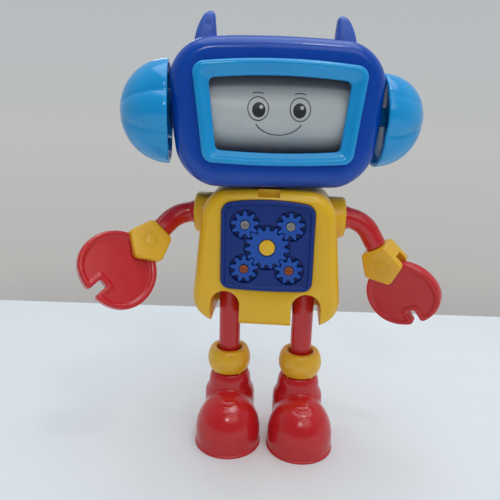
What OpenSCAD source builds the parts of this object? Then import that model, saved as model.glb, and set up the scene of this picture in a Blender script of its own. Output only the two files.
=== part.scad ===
// Toy robot with turning gears, a face drum and swinging arms and legs. Millimetres, +Z up.
// The robot faces -Y and stands on the plane z = 0. Left and right are the robot's own sides.

/* [Pose] */
// Turn of the head towards the robot's left, in degrees
head_turn = 9; // [-180:1:180]
// Forward swing of the right arm
swing_right = 52; // [-90:1:90]
// Forward swing of the left arm
swing_left = 0; // [-90:1:90]
// Turn of the right wrist block about the arm's end
wrist_turn_right = 38; // [-180:1:180]
// Turn of the left wrist block about the arm's end
wrist_turn_left = 30; // [-180:1:180]
// Outward tilt of the right hand
hand_tilt_right = 3; // [-30:1:30]
// Outward tilt of the left hand
hand_tilt_left = 4; // [-30:1:30]
// Turn of the ears and the face drum about their axle
ear_turn = 0; // [0:1:119]

/* [Torso] */
// Half the torso's width at mid height
torso_hw = 38; // [37:0.5:39]
// Lowest point of the torso
torso_z0 = 78; // [77:0.5:79]
// Shoulder line of the torso, below its crowned top
torso_z1 = 151; // [150:0.5:151]
// Depth of the front shell
torso_front = 24.2; // [24:0.1:25]
// Depth of the back shell
torso_back = 22; // [20:0.5:24]
// Wall of the moulded shells
wall = 2; // [1.8:0.1:2.2]
// Radius of the round leg arches
arch_r = 7.9; // [7.5:0.1:8.2]
// Radius of the shoulder sleeves
sleeve_r = 11.4; // [11:0.1:12]

/* [Gears] */
// Teeth of the middle gear
centre_teeth = 15; // [15:3:15]
// Teeth of each corner gear
corner_teeth = 9; // [9:3:9]
// Gear module
gear_module = 1.4; // [1.4:0.1:1.4]
// Thickness of the gears
gear_t = 2.4; // [2:0.1:2.6]
// Radius of the yellow hub in the middle gear
hub_r = 4.12; // [4:0.01:4.12]

/* [Head] */
// Half the head's width at mid height
head_hw = 50.5; // [50:0.5:52]
// Bottom and top of the head's outline, before its crown
head_z0 = 154.2; // [154:0.1:155]
// Top of the head's outline, before its crown
head_z1 = 225.2; // [224:0.1:226]
// Depth of the front shell
head_front = 24; // [24:0.1:24.4]
// Depth of the back shell
head_back = 25.5; // [25:0.5:28]
// Radius of the face drum
drum_r = 22.4; // [20:0.1:22.4]
// Half the length of the face drum
drum_half = 37; // [36:0.5:38]
// Largest radius of the lobed ears
ear_r = 26.4; // [24:0.1:27]
// How far each ear stands out
ear_len = 26.4; // [22:0.1:28]
// Height of the horns' tips
horn_top = 240; // [234:1:242]

/* [Arms and legs] */
// Radius of the arm tube
arm_r = 5.75; // [5.5:0.05:5.75]
// Radius of the arm's bend
bend_r = 16.4; // [14:0.1:18]
// Angle of the arm's bend
bend_a = 60; // [45:1:70]
// Straight length after the bend
arm_tail = 7.5; // [5:0.5:9]
// Circumscribed radius of the five-sided wrist block
block_r = 12.4; // [12:0.1:13]
// Thickness of the wrist block
block_t = 14; // [13:0.5:15]
// Radius of the disc-shaped hand
hand_r = 22; // [20:0.5:22]
// Thickness of the hand's border
hand_t = 6; // [5:0.2:6]
// Radius of the leg
leg_r = 6.2; // [5.8:0.1:6.4]
// Sideways place of each leg
leg_x = 21.3; // [21:0.1:21.6]
// Radius of the ankle cuff
cuff_r = 12.7; // [12:0.1:13]
// Height of the boot's rounded toe
toe_h = 28; // [26:0.5:29]

/* [Hidden] */
$fn = 64;

yellow = [0.86, 0.66, 0.12];
blue = [0.09, 0.25, 0.60];
panel_blue = [0.10, 0.24, 0.56];
sky = [0.15, 0.60, 0.84];
navy = [0.07, 0.12, 0.36];
red = [0.70, 0.14, 0.17];
steel = [0.70, 0.70, 0.72];

shoulder_z = 135.7;             // axis of both shoulders
hip_z = 89.5;                   // axis of both hips
axle_z = 190;                   // axis of the ears and the face drum
gear_z = 122.9;                 // centre of the middle gear
centre_distance = gear_module * (centre_teeth + corner_teeth) / 2;
corner = centre_distance / sqrt(2);
panel_front = torso_front + 1;  // face of the chest panel, in front of the torso
panel_back = torso_front - 1.6; // floor of the panel's seat in the torso
gear_back = panel_back + 0.3;   // back of the gears
sleeve_end = 41.5;              // outer face of the shoulder sleeves
block_in = block_r * cos(36);   // from the block's centre to its flat sides
arm_gap = 0.4;                  // between the arm's end and the wrist block
arm_step = 0.03;                // step between the arm's bend and its straight ends
wrist_reach = 11;               // from the arm's end to the block's centre
hand_reach = 22.9;              // from the wrist pin to the hand's centre
ear_face = 55.3;                // plane of the ears' open rims

// ---- outlines and lofts ----

// Rounded rectangle in x and z with a flared width and crowned ends, counter-clockwise
function frame_outline(hw, z0, z1, r0, r1, flare, crown0, crown1, arc = 6, flat = 6, side = 2) =
    let (zc = (z0 + z1) / 2,
        corners = [[hw - r0, z0 + r0, r0, -90], [hw - r1, z1 - r1, r1, 0],
            [r1 - hw, z1 - r1, r1, 90], [r0 - hw, z0 + r0, r0, 180]],
        raw = [for (k = [0:3]) let (c = corners[k], d = corners[(k + 1) % 4],
            last = [c[0], c[1]] + c[2] * [cos(c[3] + 90), sin(c[3] + 90)],
            next = [d[0], d[1]] + d[2] * [cos(d[3]), sin(d[3])],
            n = k % 2 == 0 ? side : flat)
            each concat([for (i = [0:arc]) let (a = c[3] + 90 * i / arc)
                [c[0], c[1]] + c[2] * [cos(a), sin(a)]],
                [for (i = [1:n - 1]) last + (next - last) * i / n])])
    [for (p = raw) let (u = 1 - pow(p[0] / hw, 2), v = (p[1] - zc) / (z1 - zc))
        [p[0] * (1 + flare * (p[1] - zc) / hw), p[1] + u * v * (v > 0 ? crown1 : crown0)]];

// The outline moved inwards by d, along its own normals
function inset(p, d) = [for (i = [0:len(p) - 1])
    let (t = p[(i + 1) % len(p)] - p[(i + len(p) - 1) % len(p)], n = [t[1], -t[0]] / norm(t)) p[i] - d * n];

// One ring of a loft: the outline in the plane y = -depth
function ring(p, depth) = [for (q = p) [q[0], -depth, q[1]]];

// Rings that round the front edge of an outline
function edge_rings(p, depth, edge, inward, start = 0, steps = 4) =
    [for (i = [0:steps]) let (a = 90 * i / steps)
        ring(inset(p, start + inward * (1 - cos(a))), depth - edge * (1 - sin(a)))];

// Solid through a list of rings of equal length, with flat ends or joined into a loop
module loft(rings, loop = false) {
    n = len(rings[0]);
    m = len(rings);
    spans = loop ? m : m - 1;
    sides = [for (i = [0:spans - 1], j = [0:n - 1])
        let (a = i * n, b = ((i + 1) % m) * n, k = (j + 1) % n) each
        [[a + j, b + j, b + k], [a + j, b + k, a + k]]];
    ends = loop ? [] : [[for (j = [0:n - 1]) j], [for (j = [n - 1:-1:0]) (m - 1) * n + j]];
    polyhedron([for (r = rings) each r], concat(sides, ends), convexity = 8);
}

// Cup-shaped shell, open at y = 0, with a rounded edge and a flat front
module cup(p, depth, edge, front_wall) {
    loft(concat(
        [for (i = [3:-1:0]) let (a = 30 * i)
            ring(inset(p, wall + (edge - wall) * (1 - cos(a))), depth - front_wall - (edge - wall) * (1 - sin(a)))],
        [ring(inset(p, wall), 0), ring(p, 0)],
        edge_rings(p, depth, edge, edge)));
}

module prism_y(p, y0, y1) {
    translate([0, y1, 0]) rotate([90, 0, 0]) linear_extrude(y1 - y0) polygon(p);
}

module rod_x(r, x0, x1) { translate([x0, 0, 0]) rotate([0, 90, 0]) cylinder(r = r, h = x1 - x0); }

// Round bar along Y that starts at y0
module rod_y(r, y0, y1) { translate([0, y1, 0]) rotate([90, 0, 0]) cylinder(r = r, h = y1 - y0); }

module half_space(front) { translate([-150, front ? -150 : 0, 0]) cube([300, 150, 300]); }

// ---- frames of the moving pieces ----

function swing(side) = side < 0 ? swing_right : swing_left;
function wrist_turn(side) = side < 0 ? wrist_turn_right : wrist_turn_left;
function hand_tilt(side) = side < 0 ? hand_tilt_right : hand_tilt_left;

module mirrored(side) { mirror([side < 0 ? 1 : 0, 0, 0]) children(); }
module in_head() { rotate([0, 0, head_turn]) children(); }
module in_arm(side) {
    translate([0, 0, shoulder_z]) rotate([-swing(side), 0, 0]) mirrored(side) children();
}
module in_wrist(side) {
    in_arm(side)
        translate([sleeve_end + 0.3 + bend_r * sin(bend_a) + arm_tail * cos(bend_a), 0,
            -bend_r * (1 - cos(bend_a)) - arm_tail * sin(bend_a)])
        rotate([0, bend_a, 0]) rotate([wrist_turn(side), 0, 0]) children();
}
module in_hand(side) {
    in_wrist(side) translate([wrist_reach, 0, 0]) rotate([0, -hand_tilt(side), 0]) children();
}

// ---- torso ----

torso_outline = frame_outline(torso_hw, torso_z0, torso_z1, 9, 13, -0.095, 0.5, 1.6);
panel_outline = frame_outline(24.3, 100, 145.4, 4.5, 4.5, 0, 0.9, 2.6, arc = 4, flat = 6, side = 1);
screw_spots = [[-27, 112], [27, 112], [-23, 143], [23, 143]];
corner_spots = [[-1, 1], [1, 1], [-1, -1], [1, -1]];

// Half a shoulder sleeve with a rounded outer edge
module sleeve(side) {
    mirrored(side) translate([0, 0, shoulder_z]) rotate([0, 90, 0]) rotate_extrude()
        union() {
            translate([0, 30]) square([sleeve_r, sleeve_end - 32]);
            translate([0, sleeve_end - 2]) square([sleeve_r - 2, 2]);
            translate([sleeve_r - 2, sleeve_end - 2]) circle(r = 2);
        }
}

// The arm's running bore and the pocket of its flange
module sleeve_bore(side) {
    mirrored(side) translate([0, 0, shoulder_z]) {
        rod_x(arm_r + 0.05, 29, 45);
        rod_x(8.7, 28, 34.4);
    }
}

// Arch over each leg, open downwards, from y0 to y1
module leg_arches(y0, y1) {
    for (x = [-22, 22]) translate([x, 0, 0]) {
        translate([0, 0, hip_z]) rod_y(arch_r, y0, y1);
        translate([-arch_r, y0, 60]) cube([2 * arch_r, y1 - y0, hip_z - 60]);
    }
}

module torso_front_shell() {
    color(yellow) difference() {
        union() {
            cup(torso_outline, torso_front, 4.6, 4);
            for (side = [-1, 1]) intersection() { sleeve(side); half_space(true); }
            for (s = corner_spots) translate([s[0] * corner, 0, gear_z + s[1] * corner])
                rod_y(3, -torso_front + 2, -12);
            for (s = screw_spots) translate([s[0], 0, s[1]]) rod_y(3.1, -torso_front + 3, -0.2);
        }
        for (side = [-1, 1]) sleeve_bore(side);
        leg_arches(-40, 1);
        prism_y(inset(panel_outline, -0.1), -40, -panel_back);
        translate([-5.6, -40, 149.2]) cube([11.2, 22, 6]);
        translate([0, 0, 130]) cylinder(r = 7, h = 40);
        for (s = corner_spots) translate([s[0] * corner, 0, gear_z + s[1] * corner]) rod_y(1.25, -40, -10);
        for (s = screw_spots) translate([s[0], 0, s[1]]) rod_y(1.1, -12, 1);
        translate([0, 0, gear_z]) rod_y(3, -40, -10);
    }
}

module torso_back_shell() {
    color(yellow) difference() {
        union() {
            mirror([0, 1, 0]) cup(torso_outline, torso_back, 7, wall);
            for (side = [-1, 1]) intersection() { sleeve(side); half_space(false); }
            for (s = screw_spots) translate([s[0], 0, s[1]]) rod_y(3.6, 0.2, torso_back - 1);
            for (x = [-33.5, -12.5, 12.5, 33.5]) translate([x - 1, -4, 81]) cube([2, torso_back + 2.5, 14]);
        }
        for (side = [-1, 1]) sleeve_bore(side);
        leg_arches(-1, 12.5);
        translate([0, 0, 130]) cylinder(r = 7, h = 40);
        translate([0, 0, hip_z]) rod_x(1.5, -36, 36);
        for (s = screw_spots) translate([s[0], 0, s[1]]) {
            rod_y(1.1, -1, torso_back + 1);
            rod_y(2.6, torso_back - 5, torso_back + 1);
        }
    }
}

// Blue panel with a raised rim, a clover of five round windows for the gears and four pips
module chest_panel() {
    color(panel_blue) difference() {
        union() {
            prism_y(panel_outline, -panel_front, -panel_back);
            difference() {
                prism_y(panel_outline, -panel_front - 0.9, -panel_front);
                prism_y(inset(panel_outline, 1.6), -panel_front - 2, -panel_front + 0.5);
            }
            for (s = corner_spots) translate([s[0] * 19.5, 0, gear_z + s[1] * 17.3])
                rod_y(0.9, -panel_front - 0.5, -panel_front);
        }
        translate([0, 0, gear_z]) rod_y(outer_r(centre_teeth) + 1, -40, 0);
        for (s = corner_spots) translate([s[0] * corner, 0, gear_z + s[1] * corner])
            rod_y(outer_r(corner_teeth) + 0.9, -40, 0);
    }
}

// ---- gears ----

pressure = 25;                  // pressure angle of the gears
backlash = 1.6;                 // angle taken off each flank, in degrees at 9 teeth
centre_phase = 90;              // angle of one tooth of the middle gear
function pitch_r(teeth) = gear_module * teeth / 2;
function outer_r(teeth) = pitch_r(teeth) + 0.75 * gear_module;
function root_r(teeth) = pitch_r(teeth) - gear_module;
function involute(a) = tan(a) * 180 / PI - a;
function half_tooth(teeth, r) = 90 / teeth - backlash * corner_teeth / teeth + involute(pressure)
    - involute(acos(min(1, pitch_r(teeth) * cos(pressure) / r)));

// Outline of an involute gear with one tooth at the angle phase
function gear_outline(teeth, phase) =
    let (base = max(pitch_r(teeth) * cos(pressure), root_r(teeth) + 0.1), tip = outer_r(teeth),
        flank = [for (i = [0:3]) base + (tip - base) * i / 3], foot = half_tooth(teeth, base) + 20 / teeth)
    [for (k = [0:teeth - 1]) let (c = phase + 360 * k / teeth) each concat(
        [root_r(teeth) * [cos(c - foot), sin(c - foot)]],
        [for (r = flank) let (a = c - half_tooth(teeth, r)) r * [cos(a), sin(a)]],
        [for (i = [3:-1:0]) let (r = flank[i], a = c + half_tooth(teeth, r)) r * [cos(a), sin(a)]],
        [root_r(teeth) * [cos(c + foot), sin(c + foot)]])];

// Phase of a corner gear that meshes with the middle one in the direction phi
function mesh_phase(phi) = let (pitch = 360 / centre_teeth,
    lead = centre_phase + pitch * round((phi - centre_phase) / pitch) - phi)
    phi + 180 - lead * centre_teeth / corner_teeth + 180 / corner_teeth;

module centre_gear() {
    color(blue) translate([0, 0, gear_z]) difference() {
        prism_y(gear_outline(centre_teeth, centre_phase), -gear_back - gear_t, -gear_back);
        rod_y(hub_r + 0.08, -40, 0);
        rod_y(hub_r + 1.3, -40, -gear_back - gear_t + 0.8);
    }
}

module corner_gear(s) {
    color(blue) translate([s[0] * corner, 0, gear_z + s[1] * corner]) difference() {
        prism_y(gear_outline(corner_teeth, mesh_phase(atan2(s[1], s[0]))), -gear_back - gear_t, -gear_back);
        rod_y(1.3, -40, 0);
        rod_y(2.5, -40, -gear_back - gear_t + 1);
    }
}

module gear_upper_right() { corner_gear([-1, 1]); }
module gear_upper_left() { corner_gear([1, 1]); }
module gear_lower_right() { corner_gear([-1, -1]); }
module gear_lower_left() { corner_gear([1, -1]); }

// Hub with a lip that keeps the middle gear on
module gear_hub() {
    color(yellow) translate([0, 0, gear_z]) {
        rod_y(3, -panel_back, -14);
        rod_y(hub_r, -gear_back - gear_t - 0.3, -panel_back);
        rod_y(hub_r + 1, -gear_back - gear_t - 0.3, -gear_back - gear_t + 0.5);
    }
}

// Cross-head screw along -Y, with the underside of its head at y = 0
module screw(head_r, head_h, shank_r, length) {
    difference() {
        union() {
            rod_y(head_r, -head_h, 0);
            rod_y(shank_r, 0, length);
        }
        for (a = [0, 90]) rotate([0, a, 0]) translate([-head_r * 0.65, -head_h - 1, -0.3])
            cube([head_r * 1.3, 1 + head_h * 0.6, 0.6]);
    }
}

module gear_screws() {
    color(steel) for (s = corner_spots)
        translate([s[0] * corner, -gear_back - gear_t + 0.7, gear_z + s[1] * corner]) screw(2.2, 1.1, 1.25, 9);
}

module torso_screws() {
    color(steel) for (s = screw_spots) translate([s[0], torso_back - 5, s[1]])
        mirror([0, 1, 0]) screw(2.3, 1.6, 1.1, 22);
}

// Post with two flanges, on which the head turns
module neck_post() {
    color(yellow) difference() {
        union() {
            translate([0, 0, 145]) cylinder(r = 7, h = 12);
            translate([0, 0, 147.6]) cylinder(r = 9.5, h = 2);
            translate([0, 0, 156.7]) cylinder(r = 9.5, h = 2);
        }
        translate([0, 0, 140]) cylinder(r = 4.5, h = 30);
    }
}

module hip_axle() { color(steel) translate([0, 0, hip_z]) rod_x(1.5, -35.5, 35.5); }

// ---- head ----

head_outline = frame_outline(head_hw, head_z0, head_z1, 17, 18, 0.184, 0.8, 2.4);
bezel_outline = frame_outline(39.9, 167, 214, 4.6, 5.5, 0.12, 1.5, 2.7);
opening_outline = frame_outline(37.6, 169.2, 211.6, 3, 3.8, 0.11, 1.3, 2.4);
window_outline = frame_outline(33.2, 173, 206.9, 2.2, 2.6, 0.11, 1.3, 1.9);
head_spots = [[-41.5, 177], [41.5, 177], [-43.5, 206], [43.5, 206]];

module ear_bore() { translate([0, 0, axle_z]) rod_x(8.5, -60, 60); }

module head_front_shell() {
    color(blue) in_head() difference() {
        union() {
            loft(concat([ring(head_outline, 0)], edge_rings(head_outline, head_front, 8, 7),
                [ring(opening_outline, head_front), ring(opening_outline, head_front - wall)],
                [ring(inset(head_outline, 7.6), head_front - wall), ring(inset(head_outline, 3.6), head_front - 4),
                    ring(inset(head_outline, wall), head_front - 8), ring(inset(head_outline, wall), 0)]), loop = true);
            for (s = head_spots) translate([s[0], 0, s[1]]) rod_y(3.3, 1.5 - head_front, -0.2);
        }
        ear_bore();
        translate([0, 0, 140]) cylinder(r = 7.06, h = 30);
        for (s = head_spots) translate([s[0], 0, s[1]]) rod_y(1.1, -10, 1);
    }
}

module head_back_shell() {
    color(blue) in_head() difference() {
        union() {
            mirror([0, 1, 0]) cup(head_outline, head_back, 10, wall);
            for (s = head_spots) translate([s[0], 0, s[1]]) rod_y(3.3, 0.2, head_back - 1);
        }
        ear_bore();
        translate([0, 0, 140]) cylinder(r = 7.06, h = 30);
        for (s = head_spots) translate([s[0], 0, s[1]]) {
            rod_y(1.1, -1, head_back + 1);
            rod_y(2.5, head_back - 8, head_back + 1);
        }
    }
}

// Frame round the screen: a rounded lip outside, a slope towards the window inside
module screen_bezel() {
    color(sky) in_head() loft([
        ring(inset(opening_outline, 0.1), head_front - 0.7), ring(inset(opening_outline, 0.1), head_front),
        ring(bezel_outline, head_front), ring(bezel_outline, head_front + 2.2),
        ring(inset(bezel_outline, 0.7), head_front + 3.3), ring(inset(bezel_outline, 1.8), head_front + 3.6),
        ring(inset(bezel_outline, 3), head_front + 3.1), ring(inset(window_outline, -1.6), head_front + 2.2),
        ring(window_outline, head_front + 1.4), ring(window_outline, head_front - 1.1)], loop = true);
}

// Hollow drum that carries the printed faces
module face_drum() {
    color([0.85, 0.85, 0.80]) in_head() translate([0, 0, axle_z]) difference() {
        rod_x(drum_r, -drum_half, drum_half);
        difference() {
            rod_x(drum_r - wall, wall - drum_half, drum_half - wall);
            rod_x(4, -drum_half, drum_half);
        }
        rod_x(2, -drum_half - 1, drum_half + 1);
    }
}

module drum_axle() { color(steel) in_head() translate([0, 0, axle_z]) rod_x(2, -ear_face - 16, ear_face + 16); }

// Bush in the head's side wall, in which the axle runs
module ear_bearing(side) {
    color(navy) in_head() translate([0, 0, axle_z]) mirrored(side) difference() {
        rod_x(8.5, 46, ear_face - 0.4);
        rod_x(2.06, 40, 60);
    }
}
module ear_bearing_right() { ear_bearing(-1); }
module ear_bearing_left() { ear_bearing(1); }

lobe_out = 9;                   // from the ear's axis to a lobe's centre
// Three lobes: distance from the axis in the direction a, for a largest radius of 1
function lobe(a) = let (phi = a - 120 * round(a / 120), d = lobe_out / ear_r, r = 1 - d)
    d * cos(phi) + sqrt(r * r - pow(d * sin(phi), 2));
// Ring of an ear at x, with the radius r at the lobes; blend runs from round (0) to lobed (1)
function ear_ring(x, r, phase, blend = 1) = [for (i = [0:41]) let (a = -360 * i / 42,
    q = r * (1 - blend + blend * lobe(a - phase))) [x, -q * cos(a), q * sin(a)]];

// Lobed cup that opens towards the head, with a hub inside for the axle
module ear(side, phase) {
    color(sky) in_head() translate([0, 0, axle_z]) mirrored(side) difference() {
        union() {
            loft(concat(
                [for (i = [4:-1:0]) let (a = 20 * i)
                    ear_ring(ear_face + (ear_len - 2.2) * sin(a), (ear_r - 2.2) * cos(a), phase)],
                [for (i = [0:6]) let (a = [0, 15, 30, 45, 60, 74, 85][i])
                    ear_ring(ear_face + ear_len * sin(a), ear_r * cos(a), phase, 1 - 0.5 * sin(a))]));
            rod_x(5, ear_face, ear_face + ear_len - 1.5);
        }
        rod_x(2, ear_face - 1, ear_face + 16);
    }
}
module ear_right() { ear(-1, 86 + ear_turn); }
module ear_left() { ear(1, 50 + ear_turn); }

module head_screws() {
    color(steel) in_head() for (s = head_spots) translate([s[0], head_back - 8, s[1]])
        mirror([0, 1, 0]) screw(2.2, 1.6, 1.1, 18);
}

// Horn with a straight inner side and a curved outer side, rooted in the head's top wall
module horn(side) {
    rise = horn_top - 222;
    tip = [0, 0.15, 0.3, 0.45, 0.6, 0.75, 0.88, 0.97, 1];
    color([0.16, 0.34, 0.68]) in_head() mirrored(side) loft([for (t = tip) let (
        x0 = 30.2 + 1.4 * t, x1 = 42.6 - 6.6 * pow(t, 2.2), c = (x0 + x1) / 2,
        w = (x1 - x0) / 2 * (t == 1 ? 0.6 : 1), d = (5 - 2.4 * t * t) * (t == 1 ? 0.6 : 1), z = 222 + rise * t)
        [for (j = [0:19]) let (a = 18 * j) [c + w * sign(cos(a)) * pow(abs(cos(a)), 0.6),
            d * sign(sin(a)) * pow(abs(sin(a)), 0.6), z + (c + w * cos(a) - 36) * -0.3 * (1 - t)]]]);
}
module horn_right() { horn(-1); }
module horn_left() { horn(1); }

// ---- arms ----

// Bent arm: flange and journal in the sleeve, collar, bend, tail and the wrist stub
module arm(side) {
    x1 = sleeve_end + 0.3;
    tail_end = arm_tail + wrist_reach - block_in - arm_gap;
    color(red) in_arm(side) {
        rod_x(8.5, 31.2, 34.2);
        rod_x(arm_r - arm_step, 31.2, x1);
        rod_x(arm_r + 0.7, x1 - 0.1, x1 + 1.6);
        translate([x1, 0, -bend_r]) rotate([90, 0, 0]) rotate([0, 0, 90 - bend_a]) {
            rotate_extrude(angle = bend_a) translate([bend_r, 0]) circle(r = arm_r);
            translate([bend_r, 0, 0]) rotate([90, 0, 0]) cylinder(r = arm_r - arm_step, h = tail_end);
        }
    }
    color(red) in_wrist(side) {
        rod_x(3, -1, 5);
        rod_x(3.4, 4.2, 5);
    }
}
module arm_right() { arm(-1); }
module arm_left() { arm(1); }

// Five-sided block with rounded corners, a slot for the hand and a bore for the arm's stub
module wrist_block(side) {
    color(yellow) in_wrist(side) difference() {
        translate([wrist_reach, 0, 0]) intersection() {
            rotate([90, 0, 0]) linear_extrude(block_t, center = true) circle(r = block_r, $fn = 5);
            sphere(r = block_r + 0.7);
        }
        translate([wrist_reach - 5.6, -3.3, -20]) cube([40, 6.6, 40]);
        rod_x(3.06, -1, wrist_reach);
        rod_x(3.5, 4.1, wrist_reach);
        translate([wrist_reach, 0, 0]) rod_y(2.05, -10, 10);
    }
}
module wrist_block_right() { wrist_block(-1); }
module wrist_block_left() { wrist_block(1); }

// Pin with two low heads
module wrist_pin(side) {
    color(yellow) in_wrist(side) translate([wrist_reach, 0, 0]) {
        rod_y(2.05, -block_t / 2, block_t / 2);
        rod_y(3.4, -block_t / 2 - 0.8, -block_t / 2);
        rod_y(3.4, block_t / 2, block_t / 2 + 0.8);
    }
}
module wrist_pin_right() { wrist_pin(-1); }
module wrist_pin_left() { wrist_pin(1); }

// Disc hand with a thick round border, a gripping notch and an eye for the wrist pin
module hand(side) {
    color(red) in_hand(side) difference() {
        union() {
            translate([hand_reach, 0, 0]) rotate([90, 0, 0]) rotate_extrude() union() {
                translate([0, -2]) square([hand_r - 2, 4]);
                translate([hand_r - 3.6, -hand_t / 2]) square([2.1, hand_t]);
                translate([hand_r - 1.5, -hand_t / 2 + 1.5]) square([1.5, hand_t - 3]);
                for (z = [-1, 1]) translate([hand_r - 1.5, z * (hand_t / 2 - 1.5)]) circle(r = 1.5);
            }
            rod_y(5.2, -hand_t / 2, hand_t / 2);
        }
        rod_y(2.1, -10, 10);
        translate([hand_reach + hand_r - 5.2, 0, 0]) rod_y(2.8, -10, 10);
        translate([hand_reach + hand_r - 5.2, -10, -2.8]) cube([20, 20, 5.6]);
    }
}
module hand_right() { hand(-1); }
module hand_left() { hand(1); }

// ---- legs ----

// Straight leg: round top with the hip bore, and the ankle stub
module leg(side) {
    color(red) translate([side * leg_x, 0, 0]) difference() {
        union() {
            translate([0, 0, hip_z]) sphere(r = leg_r);
            translate([0, 0, 40.4]) cylinder(r = leg_r, h = hip_z - 40.4);
            translate([0, 0, 27]) cylinder(r = 4, h = 20);
            translate([0, 0, 27]) cylinder(r = 4.6, h = 1.2);
        }
        translate([0, 0, hip_z]) rod_x(1.56, -20, 20);
    }
}
module leg_right() { leg(-1); }
module leg_left() { leg(1); }

// Cuff: a ring with a ball-shaped outside and four nubs under it
module ankle_cuff(side) {
    color(yellow) translate([side * leg_x, 0, 47.4]) difference() {
        union() {
            intersection() {
                sphere(r = cuff_r);
                translate([0, 0, -7]) cylinder(r = 20, h = 14);
            }
            for (a = [45:90:315]) rotate([0, 0, a]) translate([9.6, 0, -7.4]) cylinder(r = 0.8, h = 1);
        }
        translate([0, 0, -20]) cylinder(r = leg_r, h = 40);
        translate([0, 0, 2]) cylinder(r = 8.2, h = 20);
        translate([0, 0, -22]) cylinder(r = 8.2, h = 20);
    }
}
module ankle_cuff_right() { ankle_cuff(-1); }
module ankle_cuff_left() { ankle_cuff(1); }

// Ring of a boot at z: round heel of radius back, toe of half-width wide that ends at y = -front
function boot_ring(z, front, wide, back) = [for (i = [0:31]) let (a = 360 * i / 32, s = sin(a))
    s > 0 ? [back * cos(a), back * s, z]
        : [(back + (wide - back) * sin(180 * min(1, -1.1 * s))) * sign(cos(a)) * pow(abs(cos(a)), 0.8), front * s, z]];

// Boot with a domed toe, an instep and a collar, and the blind bore for the ankle stub
module boot(side) {
    color(red) translate([side * leg_x, 0, 0]) difference() {
        translate([-side * 0.8, 0, 0]) loft([
            boot_ring(0, 33, 18.4, 15.2), boot_ring(1, 33.8, 19.2, 15.6), boot_ring(2.4, 33.8, 19.2, 15.6),
            boot_ring(3.2, 33.2, 18.6, 15.2), boot_ring(10, 33.4, 18.9, 15.2), boot_ring(16, 32.4, 18.4, 14.9),
            boot_ring(21, 30, 17.2, 14.4), boot_ring(25, 26.4, 15.6, 14),
            boot_ring(toe_h - 0.8, 22, 14, 13.6), boot_ring(toe_h + 1, 15.5, 13, 13),
            boot_ring(33, 13, 12.4, 12.6), boot_ring(36, 12.8, 12.6, 12.8), boot_ring(39.6, 12.4, 12.3, 12.4)]);
        translate([0, 0, 26.6]) cylinder(r = 4.06, h = 20);
        translate([0, 0, 26.6]) cylinder(r = 4.7, h = 1.9);
    }
}
module boot_right() { boot(-1); }
module boot_left() { boot(1); }

torso_front_shell();
torso_back_shell();
chest_panel();
gear_hub();
centre_gear();
gear_upper_right();
gear_upper_left();
gear_lower_right();
gear_lower_left();
gear_screws();
torso_screws();
neck_post();
hip_axle();
head_front_shell();
head_back_shell();
screen_bezel();
face_drum();
drum_axle();
ear_bearing_right();
ear_bearing_left();
ear_right();
ear_left();
head_screws();
horn_right();
horn_left();
arm_right();
arm_left();
wrist_block_right();
wrist_block_left();
wrist_pin_right();
wrist_pin_left();
hand_right();
hand_left();
leg_right();
leg_left();
ankle_cuff_right();
ankle_cuff_left();
boot_right();
boot_left();
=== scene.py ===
import math

import bmesh
import bpy
import numpy as np
from mathutils import Matrix, Vector


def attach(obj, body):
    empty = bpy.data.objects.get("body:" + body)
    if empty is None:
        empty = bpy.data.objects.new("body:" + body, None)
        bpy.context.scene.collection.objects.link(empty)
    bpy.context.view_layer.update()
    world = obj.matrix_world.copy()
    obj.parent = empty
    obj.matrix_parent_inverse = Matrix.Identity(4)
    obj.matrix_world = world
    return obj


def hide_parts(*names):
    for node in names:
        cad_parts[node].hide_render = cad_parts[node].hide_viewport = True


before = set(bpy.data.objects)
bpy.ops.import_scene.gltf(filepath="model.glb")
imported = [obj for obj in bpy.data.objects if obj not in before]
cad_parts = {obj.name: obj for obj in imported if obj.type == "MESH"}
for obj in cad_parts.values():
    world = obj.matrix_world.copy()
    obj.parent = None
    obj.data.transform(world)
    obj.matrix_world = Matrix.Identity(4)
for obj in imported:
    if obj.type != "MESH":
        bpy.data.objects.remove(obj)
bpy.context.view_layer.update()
mm = 0.001  # everything below is modelled in millimetres and scaled as it is finished
sides = {"right": -1, "left": 1}  # the robot's own sides; it faces -Y
print("stage 1: frame loaded,", len(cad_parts), "nodes")

# places that the CAD source gives, in millimetres and degrees
robot = {
    "headTurn": 9, "axleHeight": 190, "earFace": 54.8,
    "shoulderHeight": 135.7, "sleeveEnd": 41.5, "hipHeight": 89.5, "legX": 21.3,
    "gearHeight": 122.9, "torsoFront": 24.2, "torsoBack": 22,
    "swing": {"right": 52, "left": 0}, "wristTurn": {"right": 38, "left": 30},
    "handTilt": {"right": 3, "left": 4},
    "bendRadius": 16.4, "bendAngle": 60, "armTail": 7.5, "wristReach": 11, "handReach": 22.9,
}


def cosine(degrees):
    return math.cos(math.radians(degrees))


def sine(degrees):
    return math.sin(math.radians(degrees))


def turned(degrees, axis):
    return Matrix.Rotation(math.radians(degrees), 4, axis)


def mirrored(side):
    return Matrix.Diagonal((sides[side], 1, 1, 1))


headPlace = turned(robot["headTurn"], "Z")
axlePlace = headPlace @ Matrix.Translation((0, 0, robot["axleHeight"]))


def armPlace(side):
    return Matrix.Translation((0, 0, robot["shoulderHeight"])) @ turned(-robot["swing"][side],
            "X") @ mirrored(side)


def wristPlace(side):
    bend = math.radians(robot["bendAngle"])
    end = Vector((robot["sleeveEnd"] + 0.3 + robot["bendRadius"] * math.sin(bend) + robot["armTail"] *
            math.cos(bend), 0, -robot["bendRadius"] * (1 - math.cos(bend)) - robot["armTail"] *
            math.sin(bend)))
    return armPlace(side) @ Matrix.Translation(end) @ turned(robot["bendAngle"],
            "Y") @ turned(robot["wristTurn"][side], "X")


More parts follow.
